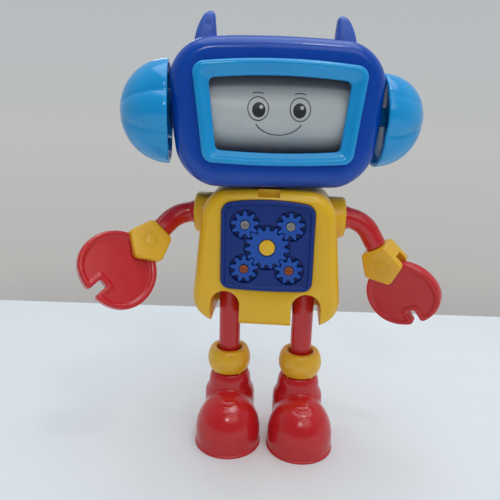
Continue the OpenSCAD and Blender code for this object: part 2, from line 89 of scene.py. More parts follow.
def handPlace(side):
    return wristPlace(side) @ Matrix.Translation((robot["wristReach"], 0,
            0)) @ turned(-robot["handTilt"][side], "Y")


# camera, table and light
viewPoint = {"place": (9.63, -297.31, 195.23), "right": (0.99680, 0.07513, 0.02737),
        "up": (-0.04598, 0.25861, 0.96489), "lens": 38.85}
across = Vector(viewPoint["right"]).normalized()
upward = (Vector(viewPoint["up"]) - across * across.dot(Vector(viewPoint["up"]))).normalized()
towards = across.cross(upward)
cameraData = bpy.data.cameras.new("camera")
cameraData.lens = viewPoint["lens"]
cameraData.sensor_width = 36
cameraData.clip_start, cameraData.clip_end = 0.01, 20
camera = bpy.data.objects.new("camera", cameraData)
bpy.context.scene.collection.objects.link(camera)
camera.matrix_world = Matrix.Translation(Vector(viewPoint["place"]) *
        mm) @ Matrix((across, upward, towards)).transposed().to_4x4()
bpy.context.scene.camera = camera
bpy.context.scene.view_settings.view_transform = "Standard"
bpy.context.scene.view_settings.look = "None"


def linear(hexColour):
    # an sRGB hex value as the linear colour that a shader takes
    parts = [int(hexColour[i:i + 2], 16) / 255 for i in (1, 3, 5)]
    return tuple(p / 12.92 if p <= 0.04045 else ((p + 0.055) / 1.055) ** 2.4 for p in parts) + (1.0,)


def addNode(tree, kind, settings=None, values=None, links=None):
    node = tree.nodes.new(kind)
    for name, value in (settings or {}).items():
        setattr(node, name, value)
    for socket, value in (values or {}).items():
        node.inputs[socket].default_value = value
    for socket, source in (links or {}).items():
        tree.links.new(source, node.inputs[socket])
    return node


def emptyMaterial(name):
    material = bpy.data.materials.new(name)
    material.use_nodes = True
    material.node_tree.nodes.clear()
    return material, material.node_tree


def perMetre(sizeMm):
    return 1000 / sizeMm  # noise scale for features of a real size in millimetres


mixing = {"data_type": "RGBA"}  # socket 0 is the factor, 6 and 7 the colours; output 2 is the result


def mouldedPlastic(name, look):
    # an injection-moulded plastic: even colour with faint flow marks, a slightly wavy gloss, handling scuffs
    material, tree = emptyMaterial(name)
    place = addNode(tree, "ShaderNodeTexCoord").outputs["Object"]
    flow = addNode(tree, "ShaderNodeTexNoise", {}, {"Scale": perMetre(18), "Detail": 2.0, "Roughness": 0.5},
            {"Vector": place})
    smudge = addNode(tree, "ShaderNodeTexNoise", {}, {"Scale": perMetre(6), "Detail": 4.0, "Roughness": 0.6},
            {"Vector": place})
    streakPlace = addNode(tree, "ShaderNodeMapping", {},
            {"Rotation": (0.5, 0.3, 0.9), "Scale": (1.0, 14.0, 14.0)}, {"Vector": place})
    # scuff marks about 0.4 mm wide and 6 mm long; real ones are finer and would not show
    streak = addNode(tree, "ShaderNodeTexNoise", {}, {"Scale": perMetre(6), "Detail": 1.0},
            {"Vector": streakPlace.outputs[0]})
    scuff = addNode(tree, "ShaderNodeMapRange", {}, {"From Min": 0.66, "From Max": 0.76, "To Min": 0.0,
            "To Max": 1.0}, {"Value": streak.outputs["Fac"]})
    patch = addNode(tree, "ShaderNodeMapRange", {}, {"From Min": 0.5, "From Max": 0.66, "To Min": 0.0,
            "To Max": look["wear"]}, {"Value": smudge.outputs["Fac"]})
    worn = addNode(tree, "ShaderNodeMath", {"operation": "MULTIPLY"}, {},
                   {0: scuff.outputs["Result"], 1: patch.outputs["Result"]})
    fresh = addNode(tree, "ShaderNodeMix", mixing, {6: linear(look["deep"]), 7: linear(look["colour"])},
            {0: flow.outputs["Fac"]})
    shade = addNode(tree, "ShaderNodeMix", mixing, {7: linear(look["worn"])},
            {0: worn.outputs[0], 6: fresh.outputs[2]})
    rough = addNode(tree, "ShaderNodeMapRange", {}, {"From Min": 0.3, "From Max": 0.75,
            "To Min": look["roughness"] - 0.03, "To Max": look["roughness"] + 0.07},
            {"Value": smudge.outputs["Fac"]})
    rougher = addNode(tree, "ShaderNodeMath", {"operation": "MULTIPLY_ADD"}, {1: 0.3},
                      {0: worn.outputs[0], 2: rough.outputs["Result"]})
    # moulding waviness 7 mm long, and a 0.5 mm skin texture
    wave = addNode(tree, "ShaderNodeTexNoise", {}, {"Scale": perMetre(7), "Detail": 1.0}, {"Vector": place})
    skin = addNode(tree, "ShaderNodeTexNoise", {}, {"Scale": perMetre(0.5), "Detail": 2.0}, {"Vector": place})
    soft = addNode(tree, "ShaderNodeBump", {}, {"Strength": 0.35, "Distance": 0.12 * mm},
                   {"Height": wave.outputs["Fac"]})
    fine = addNode(tree, "ShaderNodeBump", {}, {"Strength": look.get("texture", 0.12), "Distance": 0.06 * mm},
                   {"Height": skin.outputs["Fac"], "Normal": soft.outputs[0]})
    shader = addNode(tree, "ShaderNodeBsdfPrincipled", {},
            {"IOR": 1.54, "Subsurface Weight": look.get("glow", 0.0),
            "Subsurface Radius": look.get("glowRadius", (1.0, 0.5, 0.2)),
            "Subsurface Scale": look.get("glowDepth", 1.5) * mm,
            "Specular IOR Level": look.get("shine", 0.5)},
            {"Base Color": shade.outputs[2], "Roughness": rougher.outputs[0], "Normal": fine.outputs[0]})
    addNode(tree, "ShaderNodeOutputMaterial", {}, {}, {"Surface": shader.outputs[0]})
    return material


finishes = {
    # glossy royal blue ABS: deep colour, clear soft reflections
    "royalBlueAbs": {"colour": "#0A4CB4", "deep": "#0844A6", "worn": "#4074C8", "roughness": 0.17,
            "shine": 0.36, "wear": 0.25},
    # sky blue ABS: lighter and glossier, lets a little light through
    "skyBlueAbs": {"colour": "#1AA2E2", "deep": "#1394D6", "worn": "#6CC4EA", "roughness": 0.13,
            "shine": 0.42, "glow": 0.10,
                   "glowRadius": (0.2, 0.6, 1.0), "wear": 0.35},
    # yellow ABS: satin, slightly translucent
    "yellowAbs": {"colour": "#F2C012", "deep": "#E9B40E", "worn": "#F2D469", "roughness": 0.32, "glow": 0.14,
                  "glowRadius": (1.0, 0.6, 0.15), "wear": 0.25},
    # amber ABS of the wrists and cuffs: more orange and more translucent
    "amberAbs": {"colour": "#F2BE2A", "deep": "#E8B11E", "worn": "#F3CC70", "roughness": 0.30, "glow": 0.3,
                 "glowRadius": (1.0, 0.5, 0.1), "glowDepth": 2.5, "wear": 0.35},
    "panelBlueAbs": {"shine": 0.25, "colour": "#0E3282", "deep": "#0B2C76", "worn": "#4C74BE",
            "roughness": 0.32, "wear": 0.3},
    "gearBlueAbs": {"shine": 0.3, "colour": "#1A54B4", "deep": "#164AA6", "worn": "#6B93DA",
            "roughness": 0.34, "wear": 0.3},
    "navyAbs": {"colour": "#15307F", "deep": "#122970", "worn": "#3A559F", "roughness": 0.4, "wear": 0.2},
    # soft PVC of the horns: satin with a faint sheen
    "hornPvc": {"colour": "#3A66C6", "deep": "#345DBB", "worn": "#7E9DDF", "roughness": 0.45, "glow": 0.12,
                "glowRadius": (0.2, 0.4, 1.0), "texture": 0.25, "wear": 0.5},
    # red PVC of the limbs: glossy skin over a soft, slightly translucent body
    "redPvc": {"colour": "#D02228", "deep": "#C41C23", "worn": "#D8666A", "roughness": 0.18, "glow": 0.12,
               "glowRadius": (1.0, 0.2, 0.15), "wear": 0.3},
    "drumAbs": {"colour": "#C3C7C6", "deep": "#B9BDBC", "worn": "#F0F0EC", "roughness": 0.34, "glow": 0.05,
            "wear": 0.1},
}
plastics = {name: mouldedPlastic(name, look) for name, look in finishes.items()}


def printedInk():
    # pad-printed ink: a dull black film with a faint unevenness
    material, tree = emptyMaterial("printedInk")
    place = addNode(tree, "ShaderNodeTexCoord").outputs["Object"]
    film = addNode(tree, "ShaderNodeTexNoise", {}, {"Scale": perMetre(1.2), "Detail": 3.0}, {"Vector": place})
    shade = addNode(tree, "ShaderNodeMix", mixing, {6: linear("#14161B"), 7: linear("#23262D")},
            {0: film.outputs["Fac"]})
    rough = addNode(tree, "ShaderNodeMapRange", {}, {"To Min": 0.34, "To Max": 0.5},
            {"Value": film.outputs["Fac"]})
    shader = addNode(tree, "ShaderNodeBsdfPrincipled", {}, {"IOR": 1.5},
            {"Base Color": shade.outputs[2], "Roughness": rough.outputs[0]})
    addNode(tree, "ShaderNodeOutputMaterial", {}, {}, {"Surface": shader.outputs[0]})
    return material


def platedSteel(name, warmBelow=None):
    # zinc-plated steel screws: brushed by the driver; those lower than warmBelow are coppery with age
    material, tree = emptyMaterial(name)
    place = addNode(tree, "ShaderNodeTexCoord").outputs["Object"]
    tarnish = addNode(tree, "ShaderNodeTexNoise", {}, {"Scale": perMetre(1.5), "Detail": 4.0},
            {"Vector": place})
    shade = addNode(tree, "ShaderNodeMix", mixing, {6: linear("#6E6C6A"), 7: linear("#B9B6B0")},
            {0: tarnish.outputs["Fac"]})
    if warmBelow is not None:
        apart = addNode(tree, "ShaderNodeSeparateXYZ", {}, {}, {0: place})
        low = addNode(tree, "ShaderNodeMapRange", {}, {"From Min": (warmBelow + 2) * mm,
                "From Max": (warmBelow - 2) * mm}, {"Value": apart.outputs["Z"]})
        copper = addNode(tree, "ShaderNodeMix", mixing, {6: linear("#7A3A22"), 7: linear("#B86A45")},
                {0: tarnish.outputs["Fac"]})
        colours = {0: low.outputs["Result"], 6: shade.outputs[2], 7: copper.outputs[2]}
        shade = addNode(tree, "ShaderNodeMix", mixing, {}, colours)
    rough = addNode(tree, "ShaderNodeMapRange", {}, {"To Min": 0.22, "To Max": 0.5},
            {"Value": tarnish.outputs["Fac"]})
    shader = addNode(tree, "ShaderNodeBsdfPrincipled", {}, {"Metallic": 1.0},
            {"Base Color": shade.outputs[2], "Roughness": rough.outputs[0]})
    addNode(tree, "ShaderNodeOutputMaterial", {}, {}, {"Surface": shader.outputs[0]})
    return material


ink = printedInk()
steel = platedSteel("platedSteel")
gearSteel = platedSteel("agedPlatedSteel", robot["gearHeight"])
print("stage 2: camera and", len(bpy.data.materials), "materials")


# mesh helpers, all in millimetres

def roundedFrame(shape, arc=16, flat=24, side=12):
    # rounded rectangle in x and z, counter-clockwise, with flared sides and crowned ends
    w, z0, z1, r0, r1 = (shape[k] for k in ("halfWidth", "bottom", "top", "bottomRadius", "topRadius"))
    middle = (z0 + z1) / 2
    corners = [(w - r0, z0 + r0, r0, -90), (w - r1, z1 - r1, r1, 0), (r1 - w, z1 - r1, r1, 90),
            (r0 - w, z0 + r0, r0, 180)]
    points = []
    for k, (cx, cz, r, start) in enumerate(corners):
        turn = [math.radians(start + 90 * i / arc) for i in range(arc + 1)]
        points += [Vector((cx + r * math.cos(a), cz + r * math.sin(a))) for a in turn]
        nx, nz, nr, ns = corners[(k + 1) % 4]
        after = Vector((nx + nr * cosine(ns), nz + nr * sine(ns)))
        count = side if k % 2 == 0 else flat
        last = points[-1].copy()
        points += [last.lerp(after, i / count) for i in range(1, count)]
    bent = []
    for p in points:
        u, v = 1 - (p.x / w) ** 2, (p.y - middle) / (z1 - middle)
        crown = shape["topCrown"] if v > 0 else shape["bottomCrown"]
        swell = shape["flare"] * (p.y - middle) / w + shape.get("bulge", 0) * (1 - v * v) / w
        bent.append(Vector((p.x * (1 + swell), p.y + u * v * crown)))
    return bent


def moved(points, distance):
    # the outline moved inwards along its own normals
    out = []
    for i, p in enumerate(points):
        t = points[(i + 1) % len(points)] - points[i - 1]
        out.append(p - distance * Vector((t.y, -t.x)).normalized())
    return out


def between(first, second, share):
    return [a.lerp(b, share) for a, b in zip(first, second)]


def atDepth(points, y):
    return [Vector((p.x, y, p.y)) for p in points]


def loft(rings, closeStart=True, closeEnd=True, wrap=False, bm=None):
    # a ring of edges extruded from ring to ring, every vertex moved to its place
    bm = bm or bmesh.new()
    line = list(bmesh.ops.create_circle(bm, segments=len(rings[0]), radius=1)["verts"])
    edges = list({e for v in line for e in v.link_edges})
    first = edges
    for v, p in zip(line, rings[0]):
        v.co = p
    for ring in rings[1:] + ([rings[0]] if wrap else []):
        grown = bmesh.ops.extrude_edge_only(bm, edges=edges)["geom"]
        fresh = {g for g in grown if isinstance(g, bmesh.types.BMVert)}
        edges = [g for g in grown
                if isinstance(g, bmesh.types.BMEdge) and g.verts[0] in fresh and g.verts[1] in fresh]
        line = [next(e.other_vert(v) for e in v.link_edges if e.other_vert(v) in fresh) for v in line]
        for v, p in zip(line, ring):
            v.co = p
    if not wrap:
        for wanted, rim in ((closeStart, first), (closeEnd, edges)):
            if wanted:
                bmesh.ops.contextual_create(bm, geom=rim)
    bmesh.ops.remove_doubles(bm, verts=bm.verts, dist=0.0005)
    bmesh.ops.recalc_face_normals(bm, faces=bm.faces)
    return bm


def turnedSolid(profile, axis="Z", steps=96):
    # a profile of (radius, height) pairs spun about an axis; radius 0 closes it
    bm = bmesh.new()
    verts = [bm.verts.new((r, 0, h)) for r, h in profile]
    edges = [bm.edges.new(pair) for pair in zip(verts, verts[1:])]
    bmesh.ops.spin(bm, geom=verts + edges, cent=(0, 0, 0), axis=(0, 0, 1), angle=2 * math.pi, steps=steps,
            use_merge=True)
    bmesh.ops.remove_doubles(bm, verts=bm.verts, dist=0.0005)
    if axis == "X":
        bmesh.ops.transform(bm, matrix=turned(90, "Y"), verts=bm.verts)
    if axis == "Y":
        bmesh.ops.transform(bm, matrix=turned(90, "X"), verts=bm.verts)
    bmesh.ops.recalc_face_normals(bm, faces=bm.faces)
    return bm


def placed(bm, matrix):
    bmesh.ops.transform(bm, matrix=matrix, verts=bm.verts)
    return bm


def rounded(radius, corner, rise, turnStep=15):
    # the (radius, height) pairs of a rounded outer corner that ends at the given height
    return [(radius - corner + corner * cosine(a), rise - corner + corner * sine(a))
            for a in range(0, 91, turnStep)]


def asTemporary(bm, name):
    mesh = bpy.data.meshes.new(name)
    bm.to_mesh(mesh)
    bm.free()
    obj = bpy.data.objects.new(name, mesh)
    bpy.context.scene.collection.objects.link(obj)
    return obj


def combined(bm, steps):
    # a stack of exact booleans: (operation, bmesh) pairs worked on bm in turn
    base = asTemporary(bm, "workBase")
    helpers = []
    for operation, tool in steps:
        helper = asTemporary(tool, "workTool")
        helpers.append(helper)
        stack = base.modifiers.new("join", "BOOLEAN")
        stack.operation, stack.solver, stack.object = operation, "EXACT", helper
    bpy.context.view_layer.update()
    result = base.evaluated_get(bpy.context.evaluated_depsgraph_get()).to_mesh()
    out = bmesh.new()
    out.from_mesh(result)
    for obj in [base] + helpers:
        mesh = obj.data
        bpy.data.objects.remove(obj)
        bpy.data.meshes.remove(mesh)
    bmesh.ops.remove_doubles(out, verts=out.verts, dist=0.001)
    bmesh.ops.recalc_face_normals(out, faces=out.faces)
    return out


def finished(bm, name, body, material, place=None, standsFor=(), sharp=35, bevel=None):
    # scales the mesh to metres in its place, shades it and puts it on its body
    bmesh.ops.transform(bm, matrix=Matrix.Scale(mm, 4) @ (place or Matrix.Identity(4)), verts=bm.verts)
    bmesh.ops.recalc_face_normals(bm, faces=bm.faces)
    mesh = bpy.data.meshes.new(name)
    bm.to_mesh(mesh)
    bm.free()
    mesh.shade_smooth()
    mesh.set_sharp_from_angle(angle=math.radians(sharp))
    mesh.materials.append(material)
    obj = bpy.data.objects.new(name, mesh)
    bpy.context.scene.collection.objects.link(obj)
    if bevel:
        edge = obj.modifiers.new("softEdge", "BEVEL")
        edge.width, edge.segments, edge.limit_method, edge.angle_limit = bevel * mm, 3, "ANGLE", math.radians(40)
        edge.use_clamp_overlap, edge.harden_normals = True, True
    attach(obj, body)
    if standsFor:
        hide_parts(*standsFor)
    return obj


def cylinderTool(radius, start, end, lip=0.0):
    # a cutter along z that widens by lip at its start, so the edge it leaves is rounded
    profile = [(0, start)]
    if lip:
        profile += [(radius + lip, start)]
        profile += [(radius + lip * (1 - sine(a)), start + 1 + lip * (1 - cosine(a)))
                    for a in range(0, 91, 30)]
    else:
        profile += [(radius, start)]
    return turnedSolid(profile + [(radius, end), (0, end)], "Z", 64)


def boredAcross(radius, start, end, x, z, lip=0.0):
    # a hole along y, from -start to -end
    return "DIFFERENCE", placed(cylinderTool(radius, start, end, lip),
            Matrix.Translation((x, 0, z)) @ turned(90, "X"))


# the head: two shells, the screen's surround, the turning drum with its ears, and the horns
head = {"outline": {"halfWidth": 50.6, "bottom": 154.2, "top": 225.2, "bottomRadius": 18.4, "topRadius": 19.4,
        "flare": 0.085, "bulge": 2.6, "bottomCrown": 0.8, "topCrown": 2.4},
        "opening": {"halfWidth": 37.6, "bottom": 169.2, "top": 211.6, "bottomRadius": 3, "topRadius": 3.8,
        "flare": 0.11, "bottomCrown": 1.3, "topCrown": 2.4}, "front": 24, "back": 25.5, "wall": 2,
        "edgeDeep": 8, "edgeIn": 7, "backEdge": 10, "seam": 0.35, "screwHole": 2.5,
        "screws": ((-41.5, 177), (41.5, 177), (-43.5, 206), (43.5, 206)),}
headLine = roundedFrame(head["outline"])
openingLine = roundedFrame(head["opening"])


def roundedEdge(line, depth, deep, inward, steps=12):
    # rings that round the edge of an outline towards its face at y = depth
    sign = 1 if depth > 0 else -1
    rings = []
    for i in range(steps + 1):
        a = math.radians(90 * i / steps)
        rings.append(atDepth(moved(line, inward * (1 - math.cos(a))),
                depth - sign * deep * (1 - math.sin(a))))
    return rings


seam = head["seam"]
frontRings = [atDepth(moved(headLine, seam), -0.06), atDepth(moved(headLine, seam * 0.3), -0.12),
        atDepth(headLine, -seam)]
frontRings += roundedEdge(headLine, -head["front"], head["edgeDeep"], head["edgeIn"])
frontRings += [atDepth(moved(openingLine, -0.4), -head["front"]),
        atDepth(moved(openingLine, -0.1), 0.1 - head["front"]), atDepth(openingLine, 0.5 - head["front"]),
        atDepth(openingLine, head["wall"] - head["front"])]
frontRings += [atDepth(moved(headLine, 7.6), head["wall"] - head["front"]),
        atDepth(moved(headLine, 3.6), 4 - head["front"]),
        atDepth(moved(headLine, head["wall"]), 8 - head["front"]),
        atDepth(moved(headLine, head["wall"]), -0.06)]
finished(loft(frontRings, wrap=True), "headFrontMoulding", "head", plastics["royalBlueAbs"], headPlace,
        ["head_front_shell"], sharp=32)

backRings = [atDepth(moved(headLine, head["wall"] + 7 * (1 - cosine(a))),
                     head["back"] - head["wall"] - 8 * (1 - sine(a))) for a in (90, 60, 30, 0)]
backRings += [atDepth(moved(headLine, head["wall"]), 0.06), atDepth(moved(headLine, seam), 0.06),
              atDepth(moved(headLine, seam * 0.3), 0.12), atDepth(headLine, seam)]
backRings += roundedEdge(headLine, head["back"], head["backEdge"], head["backEdge"])
holes = [boredAcross(head["screwHole"], -head["back"] - 1, 6 - head["back"], x, z, 0.4) for x,
        z in head["screws"]]
finished(combined(loft(backRings), holes), "headBackMoulding", "head", plastics["royalBlueAbs"], headPlace,
        ["head_back_shell"], sharp=32)

bezel = {
    "outer": {"halfWidth": 40.6, "bottom": 167, "top": 214, "bottomRadius": 4.6, "topRadius": 5.5,
            "flare": 0.12,
              "bottomCrown": 1.5, "topCrown": 2.7},
    "window": {"halfWidth": 33.2, "bottom": 173, "top": 206.9, "bottomRadius": 2.2, "topRadius": 2.6,
            "flare": 0.11,
               "bottomCrown": 1.3, "topCrown": 1.9},
    # share of the way to the window, and height above the head's face
    "section": ((0, 0.1), (0, 1.7), (0.03, 2.5), (0.09, 3.1), (0.17, 3.45), (0.27, 3.6), (0.37, 3.5),
            (0.46, 3.2), (0.56, 2.75),
                (0.68, 2.3), (0.80, 2.0), (0.90, 1.85), (0.955, 1.65), (0.985, 1.3), (1, 0.8), (1, -1.0)),
}
bezelLine, windowLine = roundedFrame(bezel["outer"]), roundedFrame(bezel["window"])
bezelRings = [atDepth(moved(openingLine, 0.1), 0.7 - head["front"]),
        atDepth(moved(openingLine, 0.1), -head["front"] - 0.02),
        atDepth(moved(bezelLine, 0.5), -head["front"] - 0.02)]
bezelRings += [atDepth(between(bezelLine, windowLine, share), -head["front"] - rise) for share,
        rise in bezel["section"]]
finished(loft(bezelRings, wrap=True), "screenSurround", "head", plastics["skyBlueAbs"], headPlace,
        ["screen_bezel"], sharp=50)

drum = {"radius": 22.4, "half": 37, "edge": 1.0}
drumProfile = [(2.05, -drum["half"])] + [(r, -h) for r,
        h in reversed(rounded(drum["radius"], drum["edge"], drum["half"]))]
drumProfile += [(r, h) for r, h in rounded(drum["radius"], drum["edge"], drum["half"])] + [(2.05,
        drum["half"])]
drumProfile += [drumProfile[0]]
finished(turnedSolid(drumProfile, "X", 128), "faceDrum", "face_drum", plastics["drumAbs"], axlePlace,
        ["face_drum"])

# three plain faces of the builder's own: patches in polar form (centre u v, radii, angles, stretch of v)
faces = {
    0: [(-10.5, 3.2, 4.9, 5.35, 0, 360, 1.12), (10.5, 3.2, 4.9, 5.35, 0, 360, 1.12),
        (-10.2, 2.6, 0, 3.3, 0, 360, 1.12), (10.2, 2.6, 0, 3.3, 0, 360, 1.12),
        (-10.6, 6.0, 5.6, 6.2, 62, 118, 0.9), (10.6, 6.0, 5.6, 6.2, 62, 118, 0.9),
        (0, 2.0, 13.2, 13.8, 212, 328, 0.88)],
    120: [(-10.5, 4.5, 4.6, 5.2, 200, 340, 0.8), (10.5, 4.5, 4.6, 5.2, 200, 340, 0.8),
          (0, -3.5, 5.2, 5.8, 205, 335, 0.8)],
    240: [(-10.5, 3.2, 5.2, 5.7, 0, 360, 1.1), (10.5, 3.2, 5.2, 5.7, 0, 360, 1.1),
          (-10.5, 3.4, 0, 2.3, 0, 360, 1.1), (10.5, 3.4, 0, 2.3, 0, 360, 1.1),
          (0, -9.0, 2.4, 3.0, 0, 360, 1.2)],
}
catchLights = {0: [(-9.0, 4.0, 0, 0.95, 0, 360, 1.0), (11.4, 4.0, 0, 0.95, 0, 360, 1.0)],
               240: [(-9.8, 4.2, 0, 0.7, 0, 360, 1.0), (11.2, 4.2, 0, 0.7, 0, 360, 1.0)]}


def printedMarks(marks, rise):
    # flat patches wrapped onto the drum, rise above its skin
    bm = bmesh.new()
    for turn, patches in marks.items():
        for u0, v0, r0, r1, a0, a1, stretch in patches:
            long = max(8, int((a1 - a0) * max(r1, 2) / 40))
            made = bmesh.ops.create_grid(bm, x_segments=long, y_segments=2 if r0 else 7, size=0.5)["verts"]
            for v in made:
                a, r = math.radians(a0 + (a1 - a0) * (v.co.x + 0.5)), r0 + (r1 - r0) * (v.co.y + 0.5)
                u, w = u0 + r * math.cos(a), v0 + stretch * r * math.sin(a)
                around = w / drum["radius"] + math.radians(turn)
                reach = drum["radius"] + rise
                v.co = (u, -reach * math.cos(around), reach * math.sin(around))
    bmesh.ops.remove_doubles(bm, verts=bm.verts, dist=0.002)
    bmesh.ops.dissolve_degenerate(bm, edges=bm.edges, dist=0.0005)
    bmesh.ops.recalc_face_normals(bm, faces=bm.faces)
    for f in bm.faces:
        middle = f.calc_center_median()
        if f.normal.dot(Vector((0, middle.y, middle.z))) < 0:
            f.normal_flip()
    bmesh.ops.solidify(bm, geom=list(bm.faces), thickness=0.03)
    return bm


finished(printedMarks(faces, 0.05), "printedFaces", "face_drum", ink, axlePlace)
finished(printedMarks(catchLights, 0.11), "printedCatchLights", "face_drum", plastics["drumAbs"], axlePlace)

ear = {"radius": 27.5, "length": 25.7, "wall": 2.2, "floor": 5, "count": 180,
       # creases that part an ear's lobes: angle from the front towards the top, depth and spread
       "creases": {"right": ((26, 2.9, 13), (-20, 2.5, 13), (100, 2.2, 13), (146, 2.6, 13), (220, 2.4, 13),
               (266, 2.4, 13)),
                   "left": ((26, 1.0, 16), (-20, 2.8, 13), (95, 8.0, 30), (150, 1.6, 13), (220, 2.4, 13),
                           (266, 2.4, 13))}}


def lobedRing(x, radius, side):
    ring = []
    for i in range(ear["count"]):
        angle = -360 * i / ear["count"]
        sunk = sum(depth * math.exp(-abs((angle - at + 180) % 360 - 180) / spread) for at, depth,
                spread in ear["creases"][side])
        q = radius * (1 - sunk / ear["radius"])
        a = math.radians(angle)
        ring.append(Vector((x, -q * math.cos(a), q * math.sin(a))))
    return ring


for side in sides:
    face, long, wide = robot["earFace"], ear["length"], ear["radius"]
    rings = [lobedRing(face + ear["floor"], wide - ear["wall"] - 0.7, side),
            lobedRing(face + ear["floor"] - 0.5, wide - ear["wall"] - 0.15, side),
            lobedRing(face + 1, wide - ear["wall"], side),
            lobedRing(face + 0.02, wide - ear["wall"] + 0.35, side), lobedRing(face, wide - 0.6, side),
            lobedRing(face + 0.2, wide - 0.15, side), lobedRing(face + 0.8, wide, side)]
    rings += [lobedRing(face + long * sine(a), wide * cosine(a), side)
              for a in list(range(4, 84, 4)) + [84, 87, 89]]
    finished(loft(rings), side + "Ear", "face_drum", plastics["skyBlueAbs"], axlePlace @ mirrored(side),
            ["ear_" + side], sharp=60)
    hub = turnedSolid([(0, face - 0.2), (4.6, face - 0.2), (5, face + 0.2), (5, face + long - 1.6),
            (0, face + long - 1.6)], "X", 48)
    finished(hub, side + "EarHub", "face_drum", plastics["skyBlueAbs"], axlePlace @ mirrored(side))
    bush = turnedSolid([(2.06, 46)] + [(8.5, 46)] + rounded(8.5, 0.8, face - 0.4) +
            [(2.06, face - 0.4), (2.06, 46)], "X", 64)
    finished(bush, side + "EarBush", "head", plastics["navyAbs"], axlePlace @ mirrored(side),
            ["ear_bearing_" + side])

horn = {"foot": 222, "tip": 240, "steps": 22, "count": 56}


def hornRing(t):
    x0, x1 = 30.2 + 1.4 * t, 42.6 - 6.6 * t ** 2.2
    tip = math.sqrt(max(0.0, 1 - max(0.0, (t - 0.86) / 0.14) ** 2))
    shrink = 0.12 + 0.88 * tip
    middle, w, d = (x0 + x1) / 2, (x1 - x0) / 2 * shrink, (5 - 2.4 * t * t) * shrink
    ring = []
    for j in range(horn["count"]):
        a = 2 * math.pi * j / horn["count"]
        c, s = math.cos(a), math.sin(a)
        x = middle + w * math.copysign(abs(c) ** 0.6, c)
        y = d * math.copysign(abs(s) ** 0.6, s)
        ring.append(Vector((x, y, horn["foot"] + (horn["tip"] - horn["foot"]) * t - 0.3 * (1 - t) *
                (middle + w * c - 36))))
    return ring


for side in sides:
    levels = [i / horn["steps"] for i in range(horn["steps"] - 3)] + [0.88, 0.91, 0.94, 0.965, 0.985, 0.996,
            1]
    bm = loft([hornRing(t) for t in levels])
    for v in bm.verts:  # a sink mark in front of the right horn, a thin slot in the left one's inner side
        if side == "right" and v.co.y < 0:
            v.co.y += 0.7 * math.exp(-((v.co.x - 35.2) ** 2 + (v.co.z - 233.4) ** 2) / 1.6)
        if side == "left" and v.co.x < 33.5:
            v.co.x += 0.8 * math.exp(-((v.co.y + 0.6) / 0.7) ** 2 - ((v.co.z - 232.4) / 1.5) ** 2)
    finished(bm, side + "Horn", "head", plastics["hornPvc"], headPlace @ mirrored(side),
            ["horn_" + side], sharp=50)
print("stage 3: head, faces, ears and horns")

# the torso: two shells, the chest panel and its gears
torso = {"outline": {"halfWidth": 38, "bottom": 78, "top": 151, "bottomRadius": 16, "topRadius": 13,
        "flare": -0.095, "bottomCrown": 0.5, "topCrown": 1.6}, "edgeDeep": 6.4, "edgeIn": 5.2,
        "backEdge": 7.5, "sleeve": 11.4, "arch": 7.9, "archX": 22, "archLip": 0.9, "screwHole": 2.6,
        "neckBore": 7.05, "notch": 5.6, "screws": ((-27, 112), (27, 112), (-23, 143), (23, 143)),}
panel = {"outline": {"halfWidth": 24.3, "bottom": 100, "top": 145.4, "bottomRadius": 4.5, "topRadius": 4.5,
        "flare": 0, "bottomCrown": 0.9, "topCrown": 2.6}, "seat": 22.62, "floor": 22.78, "face": 25.2,
        "rim": 26.1, "pips": (19.5, 17.3),}
torsoLine = roundedFrame(torso["outline"])
panelLine = roundedFrame(panel["outline"], arc=10)


def archTool(x, y0, y1, lip):
    # leg well: a round-topped slot, widened at the front so that its edge is soft
    rings = []
    half, top = torso["arch"], robot["hipHeight"]

    def slotRing(y, grow):
        r = half + grow
        arc = [Vector((x + r * cosine(a), y, top + r * sine(a))) for a in range(0, 181, 5)]
        return arc + [Vector((x - r, y, 66)), Vector((x + r, y, 66))]

    if lip:
        rings.append(slotRing(y0 - 3, lip))
        rings += [slotRing(y0 + lip * (1 - cosine(a)), lip * (1 - sine(a))) for a in range(0, 91, 18)]
    else:
        rings.append(slotRing(y0, 0))
    rings.append(slotRing(y1, 0))
    return loft(rings)


def sleeveSolid(side, front):
    # half a shoulder sleeve with a rounded outer edge
    profile = [(0, 28)] + [(torso["sleeve"], 28)] + rounded(torso["sleeve"], 2.2,
            robot["sleeveEnd"]) + [(0, robot["sleeveEnd"])]
    bm = placed(turnedSolid(profile, "X", 96), Matrix.Translation((0, 0, robot["shoulderHeight"])) @
            mirrored(side))
    cut = -1 if front else 1
    bmesh.ops.bisect_plane(bm, geom=bm.verts[:] + bm.edges[:] + bm.faces[:], plane_co=(0, cut * 0.06, 0),
                           plane_no=(0, -cut, 0), clear_outer=True)
    bmesh.ops.holes_fill(bm, edges=bm.edges, sides=0)
    bmesh.ops.recalc_face_normals(bm, faces=bm.faces)
    return bm


def boxTool(x0, x1, y0, y1, z0, z1):
    bm = bmesh.new()
    bmesh.ops.create_cube(bm, size=1)
    bmesh.ops.scale(bm, vec=(x1 - x0, y1 - y0, z1 - z0), verts=bm.verts)
    bmesh.ops.translate(bm, vec=((x0 + x1) / 2, (y0 + y1) / 2, (z0 + z1) / 2), verts=bm.verts)
    return bm


def seatTool():
    # the panel's seat in the front shell, with a soft edge
    line = moved(panelLine, -0.12)
    rings = [atDepth(moved(line, -0.35), -30), atDepth(moved(line, -0.35), -robot["torsoFront"]),
             atDepth(moved(line, -0.1), 0.1 - robot["torsoFront"]), atDepth(line, 0.35 - robot["torsoFront"]),
             atDepth(line, -panel["seat"])]
    return loft(rings)


